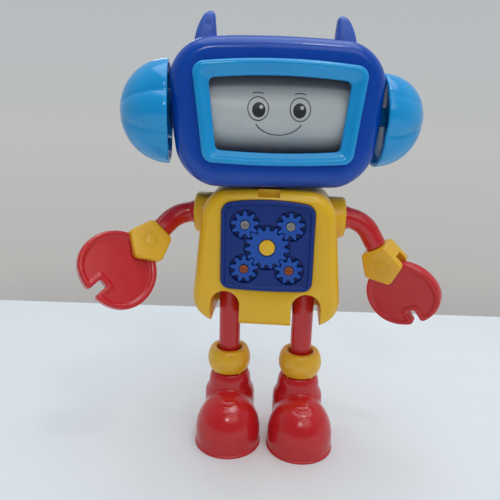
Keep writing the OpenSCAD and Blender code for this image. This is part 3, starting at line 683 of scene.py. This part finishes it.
frontBody = [atDepth(moved(torsoLine, seam), -0.06), atDepth(torsoLine, -seam)]
frontBody += roundedEdge(torsoLine, -robot["torsoFront"], torso["edgeDeep"], torso["edgeIn"])
steps = [("UNION", sleeveSolid("right", True)), ("UNION", sleeveSolid("left", True)),
        ("DIFFERENCE", archTool(-torso["archX"], -robot["torsoFront"], 2, torso["archLip"])),
        ("DIFFERENCE", archTool(torso["archX"], -robot["torsoFront"], 2, torso["archLip"])),
        ("DIFFERENCE", seatTool()), ("DIFFERENCE", boxTool(-torso["notch"], torso["notch"], -40, -18, 149.2,
        160)), ("DIFFERENCE", cylinderTool(torso["neckBore"], 146, 160))]
finished(combined(loft(frontBody), steps), "torsoFrontMoulding", "torso", plastics["yellowAbs"], None,
        ["torso_front_shell"], sharp=30)

backBody = [atDepth(moved(torsoLine, seam), 0.06), atDepth(torsoLine, seam)]
backBody += roundedEdge(torsoLine, robot["torsoBack"], torso["backEdge"], torso["backEdge"])
steps = [("UNION", sleeveSolid("right", False)), ("UNION", sleeveSolid("left", False)),
        ("DIFFERENCE", archTool(-torso["archX"], -2, 12.5, 0)),
        ("DIFFERENCE", archTool(torso["archX"], -2, 12.5, 0)),
        ("DIFFERENCE", cylinderTool(torso["neckBore"], 146, 160))]
steps += [boredAcross(torso["screwHole"], -robot["torsoBack"] - 1, 5 - robot["torsoBack"], x, z, 0.4) for x,
        z in torso["screws"]]
finished(combined(loft(backBody), steps), "torsoBackMoulding", "torso", plastics["yellowAbs"], None,
        ["torso_back_shell"], sharp=30)

gear = {"module": 1.4, "centreTeeth": 15, "cornerTeeth": 9, "back": 22.9, "thick": 2.4, "pressure": 25,
        "backlash": 1.6, "soft": 0.16, "sunk": 0.8, "centreBore": 4.2, "centreRecess": 4.75,
        "cornerBore": 1.45, "cornerRecess": 2.55, "hub": 4.1}
spread = gear["module"] * (gear["centreTeeth"] + gear["cornerTeeth"]) / 2 / math.sqrt(2)
corners = {"gear_upper_right": (-1, 1), "gear_upper_left": (1, 1), "gear_lower_right": (-1, -1),
        "gear_lower_left": (1, -1)}


def pitchRadius(teeth):
    return gear["module"] * teeth / 2


def tipRadius(teeth):
    return pitchRadius(teeth) + 0.75 * gear["module"]


panelRings = [atDepth(moved(panelLine, inward), -depth) for inward,
        depth in ((0, panel["seat"]), (0, 25.3), (0.12, 25.7), (0.4, 25.98), (0.8, panel["rim"]),
        (1.5, panel["rim"]), (1.9, 26.0), (2.15, 25.75), (2.3, 25.4), (2.5, panel["face"]))]
# each gear sits in a round well with a thin floor that its hub or screw passes
outside, behind = panel["face"] + 3, 20
steps = [boredAcross(tipRadius(gear["centreTeeth"]) + 0.8, panel["floor"], outside, 0, robot["gearHeight"]),
         boredAcross(gear["centreBore"] + 0.05, behind, outside, 0, robot["gearHeight"])]
for sx, sz in corners.values():
    x, z = sx * spread, robot["gearHeight"] + sz * spread
    steps += [boredAcross(tipRadius(gear["cornerTeeth"]) + 0.7, panel["floor"], outside, x, z),
              boredAcross(gear["cornerBore"], behind, outside, x, z)]
panelSolid = combined(loft(panelRings), steps)
finished(panelSolid, "chestPanel", "torso", plastics["panelBlueAbs"], None, ["chest_panel"],
        sharp=30, bevel=0.18)
for i, (sx, sz) in enumerate(corners.values()):
    at = (sx * panel["pips"][0], 0, robot["gearHeight"] + sz * panel["pips"][1])
    pip = turnedSolid([(0, 25.1), (1.15, 25.1), (1.15, 25.35), (1.0, 25.5), (0.75, 25.52), (0.55, 25.4),
            (0.3, 25.3), (0, 25.28)], "Y", 32)
    finished(placed(pip, Matrix.Translation(at)), "panelPip%d" % (i + 1), "torso", plastics["panelBlueAbs"],
            None)


def gearLine(teeth, phase):
    # involute outline, ten points a tooth
    pressure = math.radians(gear["pressure"])

    def involute(a):
        return math.degrees(math.tan(a)) - math.degrees(a)

    def halfTooth(r):
        flank = math.acos(min(1, pitchRadius(teeth) * math.cos(pressure) / r))
        return 90 / teeth - gear["backlash"] * gear["cornerTeeth"] / teeth + involute(pressure) - involute(flank)

    root, tip = pitchRadius(teeth) - gear["module"], tipRadius(teeth)
    base = max(pitchRadius(teeth) * math.cos(pressure), root + 0.1)
    flanks = [base + (tip - base) * i / 3 for i in range(4)]
    foot = halfTooth(base) + 20 / teeth
    points = []
    for k in range(teeth):
        c = phase + 360 * k / teeth
        polar = [(root, c - foot)] + [(r, c - halfTooth(r)) for r in flanks]
        polar += [(r, c + halfTooth(r)) for r in reversed(flanks)] + [(root, c + foot)]
        points += [Vector((r * cosine(a), r * sine(a))) for r, a in polar]
    return points


def meshPhase(direction):
    pitch = 360 / gear["centreTeeth"]
    lead = 90 + pitch * round((direction - 90) / pitch) - direction
    return direction + 180 - lead * gear["centreTeeth"] / gear["cornerTeeth"] + 180 / gear["cornerTeeth"]


def gearSolid(teeth, phase, recess, bore):
    # a toothed ring with a round recess in its face; its circles take their points from the teeth's outline
    line = gearLine(teeth, phase)
    back, front = -gear["back"], -gear["back"] - gear["thick"]
    recessRim, boreRim = [[p.normalized() * r for p in line] for r in (recess, bore)]
    rings = [(boreRim, front + gear["sunk"]), (recessRim, front + gear["sunk"]), (recessRim, front),
            (line, front), (line, back), (boreRim, back)]
    return loft([atDepth(points, y) for points, y in rings], wrap=True)


middle = (0, 0, robot["gearHeight"])
finished(placed(gearSolid(gear["centreTeeth"], 90, gear["centreRecess"], gear["centreBore"]),
        Matrix.Translation(middle)), "middleGear", "centre_gear", plastics["gearBlueAbs"], None,
        ["centre_gear"], sharp=30, bevel=gear["soft"])
for node, (sx, sz) in corners.items():
    phase = meshPhase(math.degrees(math.atan2(sz, sx)))
    at = Matrix.Translation((sx * spread, 0, robot["gearHeight"] + sz * spread))
    words = node.split("_")
    finished(placed(gearSolid(gear["cornerTeeth"], phase, gear["cornerRecess"], gear["cornerBore"]), at),
            words[1] + words[2].capitalize() + "Gear", node, plastics["gearBlueAbs"], None,
            [node], sharp=30, bevel=gear["soft"])
front = gear["back"] + gear["thick"]
hubDisc = turnedSolid([(0, 14), (3, 14), (3, panel["seat"]), (gear["hub"], panel["seat"])] +
        rounded(gear["hub"] + 0.02, 0.45, front + 0.35) + [(2, front + 0.42), (0, front + 0.44)], "Y", 64)
finished(placed(hubDisc, Matrix.Translation(middle)), "gearHubDisc", "torso", plastics["yellowAbs"], None,
        ["gear_hub"])
print("stage 4: torso, panel and gears")

# arms, wrists and hands
arm = {"radius": 5.72, "flange": 8.5, "flangeFrom": 31.2, "flangeTo": 34.2, "flare": 0.75, "ringCount": 48}


def armRings():
    # the arm's centre line with a radius at each station: flange, journal, flare at the sleeve, bend and tail
    start, bend = robot["sleeveEnd"] + 0.3, robot["bendRadius"]
    inner, outer, flared = arm["flangeFrom"], arm["flangeTo"], arm["radius"] + arm["flare"]
    stations = [(inner, 0.1), (inner, arm["flange"]), (outer, arm["flange"]), (outer, arm["radius"]),
            (start - 0.25, arm["radius"]), (start - 0.2, flared), (start + 0.5, flared)]
    turns = [2 * math.pi * i / arm["ringCount"] for i in range(arm["ringCount"])]
    rings = [[Vector((x, r * math.cos(a), r * math.sin(a))) for a in turns] for x, r in stations]

    def bentRing(angle, extra, r):
        a = math.radians(angle)
        middle = Vector((start + bend * math.sin(a) + extra * math.cos(a), 0,
                -bend * (1 - math.cos(a)) - extra * math.sin(a)))
        up = Vector((math.sin(a), 0, math.cos(a)))
        return [middle + Vector((0, r * math.cos(b), 0)) + up * (r * math.sin(b)) for b in turns]

    for angle in range(4, robot["bendAngle"] + 1, 4):
        swell = arm["flare"] * math.exp(-((angle - 2) / 4.5) ** 2)
        rings.append(bentRing(angle, 0, arm["radius"] + swell))
    tail = robot["armTail"] + robot["wristReach"] - 12.4 * cosine(36) - 0.4
    for extra, less in ((tail * 0.3, 0), (tail * 0.6, 0), (tail - 0.7, 0), (tail - 0.25, 0.15),
            (tail - 0.05, 0.5), (tail, 1.0)):
        rings.append(bentRing(robot["bendAngle"], extra, arm["radius"] - less))
    return rings


block = {"radius": 12.4, "thick": 14, "corner": 2.0, "edge": 1.1, "slot": 6.6, "eye": 5.7, "swingRoom": 31}


def wristSolid():
    # five-sided block with rounded corners and a pocket that the hand swings in; its x axis runs out along the arm
    bm = bmesh.new()
    ring = bmesh.ops.create_circle(bm, cap_ends=True, segments=5, radius=block["radius"])["verts"]
    bmesh.ops.rotate(bm, verts=bm.verts, cent=(0, 0, 0), matrix=Matrix.Rotation(math.radians(-90), 3, "Z"))
    flat = [max(ring, key=lambda v: v.co.x)]
    turnBy = math.atan2(flat[0].co.y, flat[0].co.x)
    bmesh.ops.rotate(bm, verts=bm.verts, cent=(0, 0, 0), matrix=Matrix.Rotation(-turnBy, 3, "Z"))
    grown = bmesh.ops.extrude_face_region(bm, geom=bm.faces[:])["geom"]
    bmesh.ops.translate(bm, vec=(0, 0, block["thick"]),
            verts=[g for g in grown if isinstance(g, bmesh.types.BMVert)])
    bmesh.ops.translate(bm, vec=(0, 0, -block["thick"] / 2), verts=bm.verts)
    upright = [e for e in bm.edges if abs(e.verts[0].co.z - e.verts[1].co.z) > 1]
    bmesh.ops.bevel(bm, geom=upright, offset=block["corner"], offset_type="OFFSET", segments=5, profile=0.5,
            affect="EDGES", material=-1)
    rims = [e for e in bm.edges if abs(e.verts[0].co.z -
            e.verts[1].co.z) < 0.01 and abs(abs(e.verts[0].co.z) - block["thick"] / 2) < 0.01]
    bmesh.ops.bevel(bm, geom=rims, offset=block["edge"], offset_type="OFFSET", segments=4, profile=0.5,
            affect="EDGES", material=-1)
    bmesh.ops.recalc_face_normals(bm, faces=bm.faces)
    placed(bm, Matrix.Translation((robot["wristReach"], 0, 0)) @ turned(90, "X"))
    line = []
    for i in range(144):  # room round the pin and, beyond it, for the hand's disc over its whole swing
        angle = 360 * i / 144 - 180
        aside = math.radians(max(0, abs(angle) - block["swingRoom"]))
        squared = (hand["radius"] + 0.6) ** 2 - (robot["handReach"] * math.sin(aside)) ** 2
        far = robot["handReach"] * math.cos(aside) + math.sqrt(max(0, squared)) if squared > 0 else 0
        r = max(block["eye"], far)
        line.append(Vector((robot["wristReach"] + r * cosine(angle), r * sine(angle))))
    pocket = [("DIFFERENCE", loft([atDepth(line, -block["slot"] / 2), atDepth(line, block["slot"] / 2)]))]
    moat = [("DIFFERENCE", placed(turnedSolid([(3.55, 6.75), (4.5, 6.75), (4.7, 7.1), (4.7, 9), (3.5, 9),
            (3.5, 7.1), (3.55, 6.75)], "Z", 64), Matrix.Translation((robot["wristReach"], 0, 0)) @
            turned(90 * s, "X"))) for s in (1, -1)]
    return combined(bm, pocket + moat)


hand = {"radius": 21.2, "pinHole": 2.1, "slot": 2.4, "slotEnd": 10.6, "flatten": 0.14, "tip": 1.9,
        "corner": 1.2,
        "recess": 17.6, "recessSlot": 5.7, "recessEnd": 7.0, "recessTip": 1.5, "recessCorner": 2.4,
        # share of the way from the outer line to the recess, and half thickness
        "section": ((0, 0.8), (0, 1.7), (0.03, 2.25), (0.09, 2.65), (0.2, 2.92), (0.36, 3.0), (0.54, 2.98),
                (0.7, 2.85), (0.82, 2.6),
                    (0.92, 2.25), (0.98, 2.04), (1.04, 2.0), (1.12, 2.0))}


def handLine(radius, slot, end, tip, corner):
    # a disc with a slot in its far side: fillets at the slot's mouth, rounded corners at its end
    u = math.sqrt((radius - tip) ** 2 - (slot + tip) ** 2)
    start = math.degrees(math.atan2(slot + tip, u))
    rim = [Vector((radius * cosine(a), radius * sine(a))) for a in
           [start + (360 - 2 * start) * i / 120 for i in range(121)]]

    def arcPoints(cx, cy, r, a0, a1, count):
        return [Vector((cx + r * cosine(a0 + (a1 - a0) * i / count),
                cy + r * sine(a0 + (a1 - a0) * i / count))) for i in range(count + 1)]

    lower = arcPoints(u, -slot - tip, tip, -start, 90, 10)[1:]
    sideLow = [Vector((u, -slot)).lerp(Vector((end + corner, -slot)), i / 6) for i in range(1, 6)]
    lowCorner = arcPoints(end + corner, -slot + corner, corner, 270, 180, 6)
    flat = [lowCorner[-1].lerp(Vector((end, slot - corner)), i / 4) for i in range(1, 4)]
    highCorner = arcPoints(end + corner, slot - corner, corner, 180, 90, 6)
    sideHigh = [Vector((end + corner, slot)).lerp(Vector((u, slot)), i / 6) for i in range(1, 6)]
    upper = arcPoints(u, slot + tip, tip, 270, 360 + start, 10)[:-1]
    line = rim + lower + sideLow + lowCorner + flat + highCorner + sideHigh + upper
    for p in line:  # the jaws' far side is flatter than a circle
        if p.x > 0:
            p.x *= 1 - hand["flatten"] * p.x / hand["radius"]
    return line


def handSolid():
    outer = handLine(hand["radius"], hand["slot"], hand["slotEnd"], hand["tip"], hand["corner"])
    inner = handLine(hand["recess"], hand["recessSlot"], hand["recessEnd"], hand["recessTip"],
            hand["recessCorner"])
    section = [(s, -y) for s, y in reversed(hand["section"])] + [(s, y) for s, y in hand["section"]]
    bm = placed(loft([atDepth(between(outer, inner, s), y) for s, y in section]),
            Matrix.Translation((robot["handReach"], 0, 0)))
    eye = turnedSolid([(0, -3), (4.6, -3), (5.2, -2.4), (5.2, 2.4), (4.6, 3), (0, 3)], "Y", 48)
    return combined(bm, [("UNION", eye), boredAcross(hand["pinHole"], -10, 10, 0, 0)])


for side in sides:
    bm = loft(armRings())
    finished(bm, side + "Arm", "arm_" + side, plastics["redPvc"], armPlace(side), ["arm_" + side],
            sharp=40)
    stub = turnedSolid([(0, -0.6), (3, -0.6), (3, 4.2), (3.4, 4.25), (3.4, 4.8), (3.1, 5), (0, 5)], "X", 40)
    finished(stub, side + "WristStub", "arm_" + side, plastics["redPvc"], wristPlace(side))
    finished(wristSolid(), side + "WristBlock", "wrist_" + side, plastics["amberAbs"], wristPlace(side),
            ["wrist_block_" + side], sharp=30)
    half = block["thick"] / 2
    cap = [(0, -half - 0.35), (2.2, -half - 0.3), (2.9, -half - 0.1), (3.3, -half + 0.15), (3.4, -half + 0.4),
           (2.05, -half + 0.4)]
    pin = turnedSolid(cap + [(r, -h) for r, h in reversed(cap)], "Y", 56)
    finished(placed(pin, Matrix.Translation((robot["wristReach"], 0, 0))), side + "WristPin", "wrist_" + side,
             plastics["amberAbs"], wristPlace(side), ["wrist_pin_" + side])
    finished(handSolid(), side + "Hand", "hand_" + side, plastics["redPvc"], handPlace(side),
            ["hand_" + side], sharp=40)
print("stage 5: arms, wrists and hands")

# legs, cuffs and boots
leg = {"radius": 6.2, "ankle": 40.4, "axleHole": 1.56}
cuff = {"radius": 12.7, "height": 47.4, "half": 7, "bore": 7.5, "nub": 0.85}


def legSolid():
    dome = [(leg["radius"] * cosine(a), robot["hipHeight"] + leg["radius"] * sine(a))
            for a in range(0, 91, 9)]
    profile = [(0, 27), (4.6, 27), (4.6, 28.2), (4, 28.2), (4, leg["ankle"]),
            (leg["radius"] - 0.3, leg["ankle"]), (leg["radius"], leg["ankle"] + 0.3)] + dome
    bm = turnedSolid(profile, "Z", 64)
    bore = placed(cylinderTool(leg["axleHole"], -10, 10),
            Matrix.Translation((0, 0, robot["hipHeight"])) @ turned(90, "Y"))
    return combined(bm, [("DIFFERENCE", bore)])


def cuffSolid():
    # a ball-shaped ring, open above and below, with a parting line and small nubs under it
    r, h = cuff["radius"], cuff["half"]
    shell = []
    for i in range(-13, 14):
        z = h * i / 13.5
        seamLine = 0.12 * math.exp(-(z / 0.35) ** 2)
        shell.append((math.sqrt(r * r - z * z) + seamLine, z))
    top = math.sqrt(r * r - h * h)
    lip = [(top - 0.1, h - 0.05), (top - 0.5, h + 0.1), (cuff["bore"] + 0.7, h + 0.1),
           (cuff["bore"] + 0.25, h - 0.1), (cuff["bore"], h - 0.6), (cuff["bore"] - 0.1, 1.5), (6.25, 1.2)]
    low = [(6.25, -1.2), (cuff["bore"], -1.5), (cuff["bore"], -h + 0.5), (cuff["bore"] + 0.5, -h),
           (top - 0.4, -h), (top, -h + 0.25)]
    profile = shell + lip + low
    return turnedSolid(profile + [profile[0]], "Z", 96)


boot = {"count": 220, "levels": 150, "blend": 0.9, "middle": (0, -5.5, 15),
        # centre x y, height below which the sides are upright, half sizes along x y z, power of the rounding
        "forms": {"toe": (0, -14.6, 8.0, 18.9, 19.0, 22.6, 2.05),
                "heel": (0, 1.0, 23.0, 14.9, 13.9, 10.5, 2.4),
                  "ankle": (0, 0.3, 30.0, 12.5, 12.2, 13.5, 2.8)},
        "top": 39.5, "lip": 0.5, "wrinkle": 0.1, "turnOut": {"right": 3, "left": 7},
        "aside": {"right": 0.7, "left": -0.4}}


def bootField(p):
    # smooth union of the boot's rounded forms, cut flat above and below; negative inside
    distances = []
    for cx, cy, cz, a, b, c, power in boot["forms"].values():
        rise = np.maximum(p[:, 2] - cz, 0) / c
        round2d = np.sqrt(((p[:, 0] - cx) / a) ** 2 + ((p[:, 1] - cy) / b) ** 2)
        q = (round2d ** power + rise ** power) ** (1 / power)
        distances.append((q - 1) * (a + b) / 2)
    stack = np.stack(distances)
    low = stack.min(0)
    joined = low - boot["blend"] * np.log(np.exp(-(stack - low) / boot["blend"]).sum(0))
    return np.maximum(np.maximum(joined, p[:, 2] - boot["top"]), 0.25 - p[:, 2])


def bootReach(middle, aims):
    # how far the boot's surface lies from a point inside it, along each direction, found by halving
    near, far = np.full(len(aims), 2.0), np.full(len(aims), 60.0)
    for _ in range(26):
        half = (near + far) / 2
        inside = bootField(middle + aims * half[:, None]) < 0
        near, far = np.where(inside, half, near), np.where(inside, far, half)
    return (near + far) / 2


def bootSolid():
    # a sphere of fine mesh drawn out to the boot's surface, with its creases pressed in
    bm = bmesh.new()
    bmesh.ops.create_uvsphere(bm, u_segments=boot["count"], v_segments=boot["levels"], radius=1)
    rays = np.array([v.co.normalized() for v in bm.verts])
    middle = np.array(boot["middle"], float)
    reach = bootReach(middle, rays)
    p = middle + rays * reach[:, None]
    front = np.clip((p[:, 2] - 18) / 6, 0, 1)
    for cy, r, depth in ((-18.8, 4.4, 0.4), (-18.8, 7.0, 0.16)):
        out = np.hypot(p[:, 0], p[:, 1] - cy)
        aim = np.arctan2(p[:, 0], -(p[:, 1] - cy))
        reach -= front * depth * np.exp(-((out - r) / 0.75) ** 2) * np.exp(-(aim / 0.75) ** 4)
    # short wrinkles fan out where the toe meets the ankle
    aim = np.arctan2(p[:, 0], -(p[:, 1] - 2))
    bend = np.exp(-((p[:, 2] - 28) / 3.0) ** 2) * np.exp(-(aim / 0.95) ** 4)
    reach -= boot["wrinkle"] * bend * (1 + np.sin(aim * 21 + 1.3 * np.sin(p[:, 2] * 0.9)))
    p = middle + rays * reach[:, None]
    for v, place in zip(bm.verts, p):
        v.co = place
    return bm


def soleRings():
    # outline of the boot near the floor, pushed out into a thin lip
    count = 144
    aims = np.array([(math.cos(2 * math.pi * i / count), math.sin(2 * math.pi * i / count), 0)
            for i in range(count)])
    middle = np.array((0, -8, 2.0))
    line = [Vector((middle[0] + a[0] * r, middle[1] + a[1] * r)) for a,
            r in zip(aims, bootReach(middle, aims))]
    return [[Vector((q.x, q.y, z)) for q in moved(line, -grow)] for grow,
            z in ((boot["lip"] - 0.35, 0), (boot["lip"] - 0.1, 0.1), (boot["lip"], 0.35), (boot["lip"], 1.0),
            (boot["lip"] - 0.15, 1.25), (boot["lip"] - 0.4, 1.4), (-0.6, 1.6))]


for side, sign in sides.items():
    at = Matrix.Translation((sign * robot["legX"], 0, 0))
    finished(placed(legSolid(), at), side + "Leg", "leg_" + side, plastics["redPvc"], None,
            ["leg_" + side])
    bm = cuffSolid()
    for a in (45, 135, 225, 315):
        nub = turnedSolid([(0, -7.9), (0.5, -7.85), (cuff["nub"], -7.5), (cuff["nub"], -6.4), (0, -6.4)], "Z",
                16)
        placed(nub, turned(a, "Z") @ Matrix.Translation((9.7, 0, 0)))
        helper = bpy.data.meshes.new("nub")
        nub.to_mesh(helper)
        nub.free()
        bm.from_mesh(helper)
        bpy.data.meshes.remove(helper)
    finished(placed(bm, at @ Matrix.Translation((0, 0, cuff["height"]))), side + "AnkleCuff", "leg_" + side,
            plastics["amberAbs"], None, ["ankle_cuff_" + side], sharp=45)
    bm = bootSolid()
    loft(soleRings(), bm=bm)
    finished(placed(bm, at @ turned(boot["turnOut"][side], "Z") @
            Matrix.Translation((boot["aside"][side], 0, 0))), side + "Boot", "foot_" + side,
            plastics["redPvc"], None, ["boot_" + side], sharp=50)
print("stage 6: legs, cuffs and boots")

# CAD nodes that stay, with their finishes
kept = {"neck_post": ("yellowAbs", "yellow_abs"), "hip_axle": (steel, "steel"), "drum_axle": (steel, "steel"),
        "torso_screws": (steel, "steel"), "head_screws": (steel, "steel"),
        "gear_screws": (gearSteel, "steel")}
for node, (finish, slotName) in kept.items():
    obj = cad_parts[node]
    obj.data.materials.clear()
    obj.data.materials.append(plastics[finish] if isinstance(finish, str) else finish)
print("stage 7: kept nodes have their finishes")


# table, backdrop and lights
def laminate():
    # white laminate table top: matt, faintly uneven
    material, tree = emptyMaterial("whiteLaminate")
    place = addNode(tree, "ShaderNodeTexCoord").outputs["Object"]
    cloud = addNode(tree, "ShaderNodeTexNoise", {}, {"Scale": perMetre(80), "Detail": 3.0}, {"Vector": place})
    shade = addNode(tree, "ShaderNodeMix", mixing, {6: linear("#E4E8EA"), 7: linear("#EAEDEF")},
            {0: cloud.outputs["Fac"]})
    shader = addNode(tree, "ShaderNodeBsdfPrincipled", {}, {"Roughness": 0.55},
            {"Base Color": shade.outputs[2]})
    addNode(tree, "ShaderNodeOutputMaterial", {}, {}, {"Surface": shader.outputs[0]})
    return material


stage = {"edge": 203, "turn": 3.0, "reach": 1500, "thick": 30}
bm = boxTool(-stage["reach"], stage["reach"], -stage["reach"], 0, -stage["thick"], 0)
placed(bm, Matrix.Scale(mm, 4) @ Matrix.Translation((0, stage["edge"], 0)) @ turned(stage["turn"], "Z"))
tableMesh = bpy.data.meshes.new("table")
bm.to_mesh(tableMesh)
bm.free()
tableMesh.materials.append(laminate())
table = bpy.data.objects.new("table", tableMesh)
bpy.context.scene.collection.objects.link(table)

world = bpy.data.worlds.new("studio")
bpy.context.scene.world = world
world.use_nodes = True
tree = world.node_tree
tree.nodes.clear()
aim = addNode(tree, "ShaderNodeTexCoord").outputs["Generated"]
height = addNode(tree, "ShaderNodeSeparateXYZ", {}, {}, {0: aim}).outputs["Z"]
# the backdrop's colour by height: pale grey-blue wall higher up, and painted shade that darkens it towards the
# table where the wall meets it
wall = addNode(tree, "ShaderNodeValToRGB")
ramp = wall.color_ramp
ramp.elements[0].position, ramp.elements[0].color = 0.30, linear("#A3A2A1")
ramp.elements[1].position, ramp.elements[1].color = 0.62, linear("#B4BBC0")
for position, colour in ((0.36, "#B6B5B3"), (0.47, "#BDBEBD")):
    step = ramp.elements.new(position)
    step.color = linear(colour)
halfUp = addNode(tree, "ShaderNodeMath", {"operation": "MULTIPLY_ADD"}, {1: 0.5, 2: 0.5}, {0: height})
tree.links.new(halfUp.outputs[0], wall.inputs[0])
# the room is darker on the robot's front side, away from the wall
depth = addNode(tree, "ShaderNodeSeparateXYZ", {}, {}, {0: aim}).outputs["Y"]
dim = addNode(tree, "ShaderNodeMapRange", {}, {"From Min": -0.75, "From Max": 0.15, "To Min": 0.3,
        "To Max": 1.0}, {"Value": depth})
glow = addNode(tree, "ShaderNodeBackground", {}, {}, {"Color": wall.outputs[0],
        "Strength": dim.outputs["Result"]})
addNode(tree, "ShaderNodeOutputWorld", {}, {}, {"Surface": glow.outputs[0]})


def areaLight(name, place, target, size, power, colour="#FFFFFF", sizeY=None):
    data = bpy.data.lights.new(name, "AREA")
    data.shape, data.size, data.size_y = "RECTANGLE", size, sizeY or size
    data.energy, data.color = power, linear(colour)[:3]
    lamp = bpy.data.objects.new(name, data)
    bpy.context.scene.collection.objects.link(lamp)
    lamp.location = place
    lamp.rotation_mode = "QUATERNION"
    lamp.rotation_quaternion = (Vector(target) - Vector(place)).to_track_quat("-Z", "Y")


areaLight("ceilingLight", (0.1, 0.05, 1.5), (0, 0, 0.1), 1.4, 12.5, "#F3F8FF")
areaLight("frontLight", (0.7, -1.1, 1.2), (0, 0, 0.12), 0.9, 3.4, "#FFFDF8")
areaLight("frontPanel", (0.03, -1.04, 0.80), (0, 0, 0.15), 0.24, 1.6, "#FFFFFF", 0.13)
areaLight("backPanel", (-0.32, 1.06, 0.68), (0, 0, 0.15), 0.30, 0.4, "#FFFFFF", 0.12)
areaLight("smallLamp", (0.35, -0.35, 1.3), (0, 0, 0.12), 0.07, 1.0, "#FFFFFF", 0.14)
print("stage 8: table and lights")
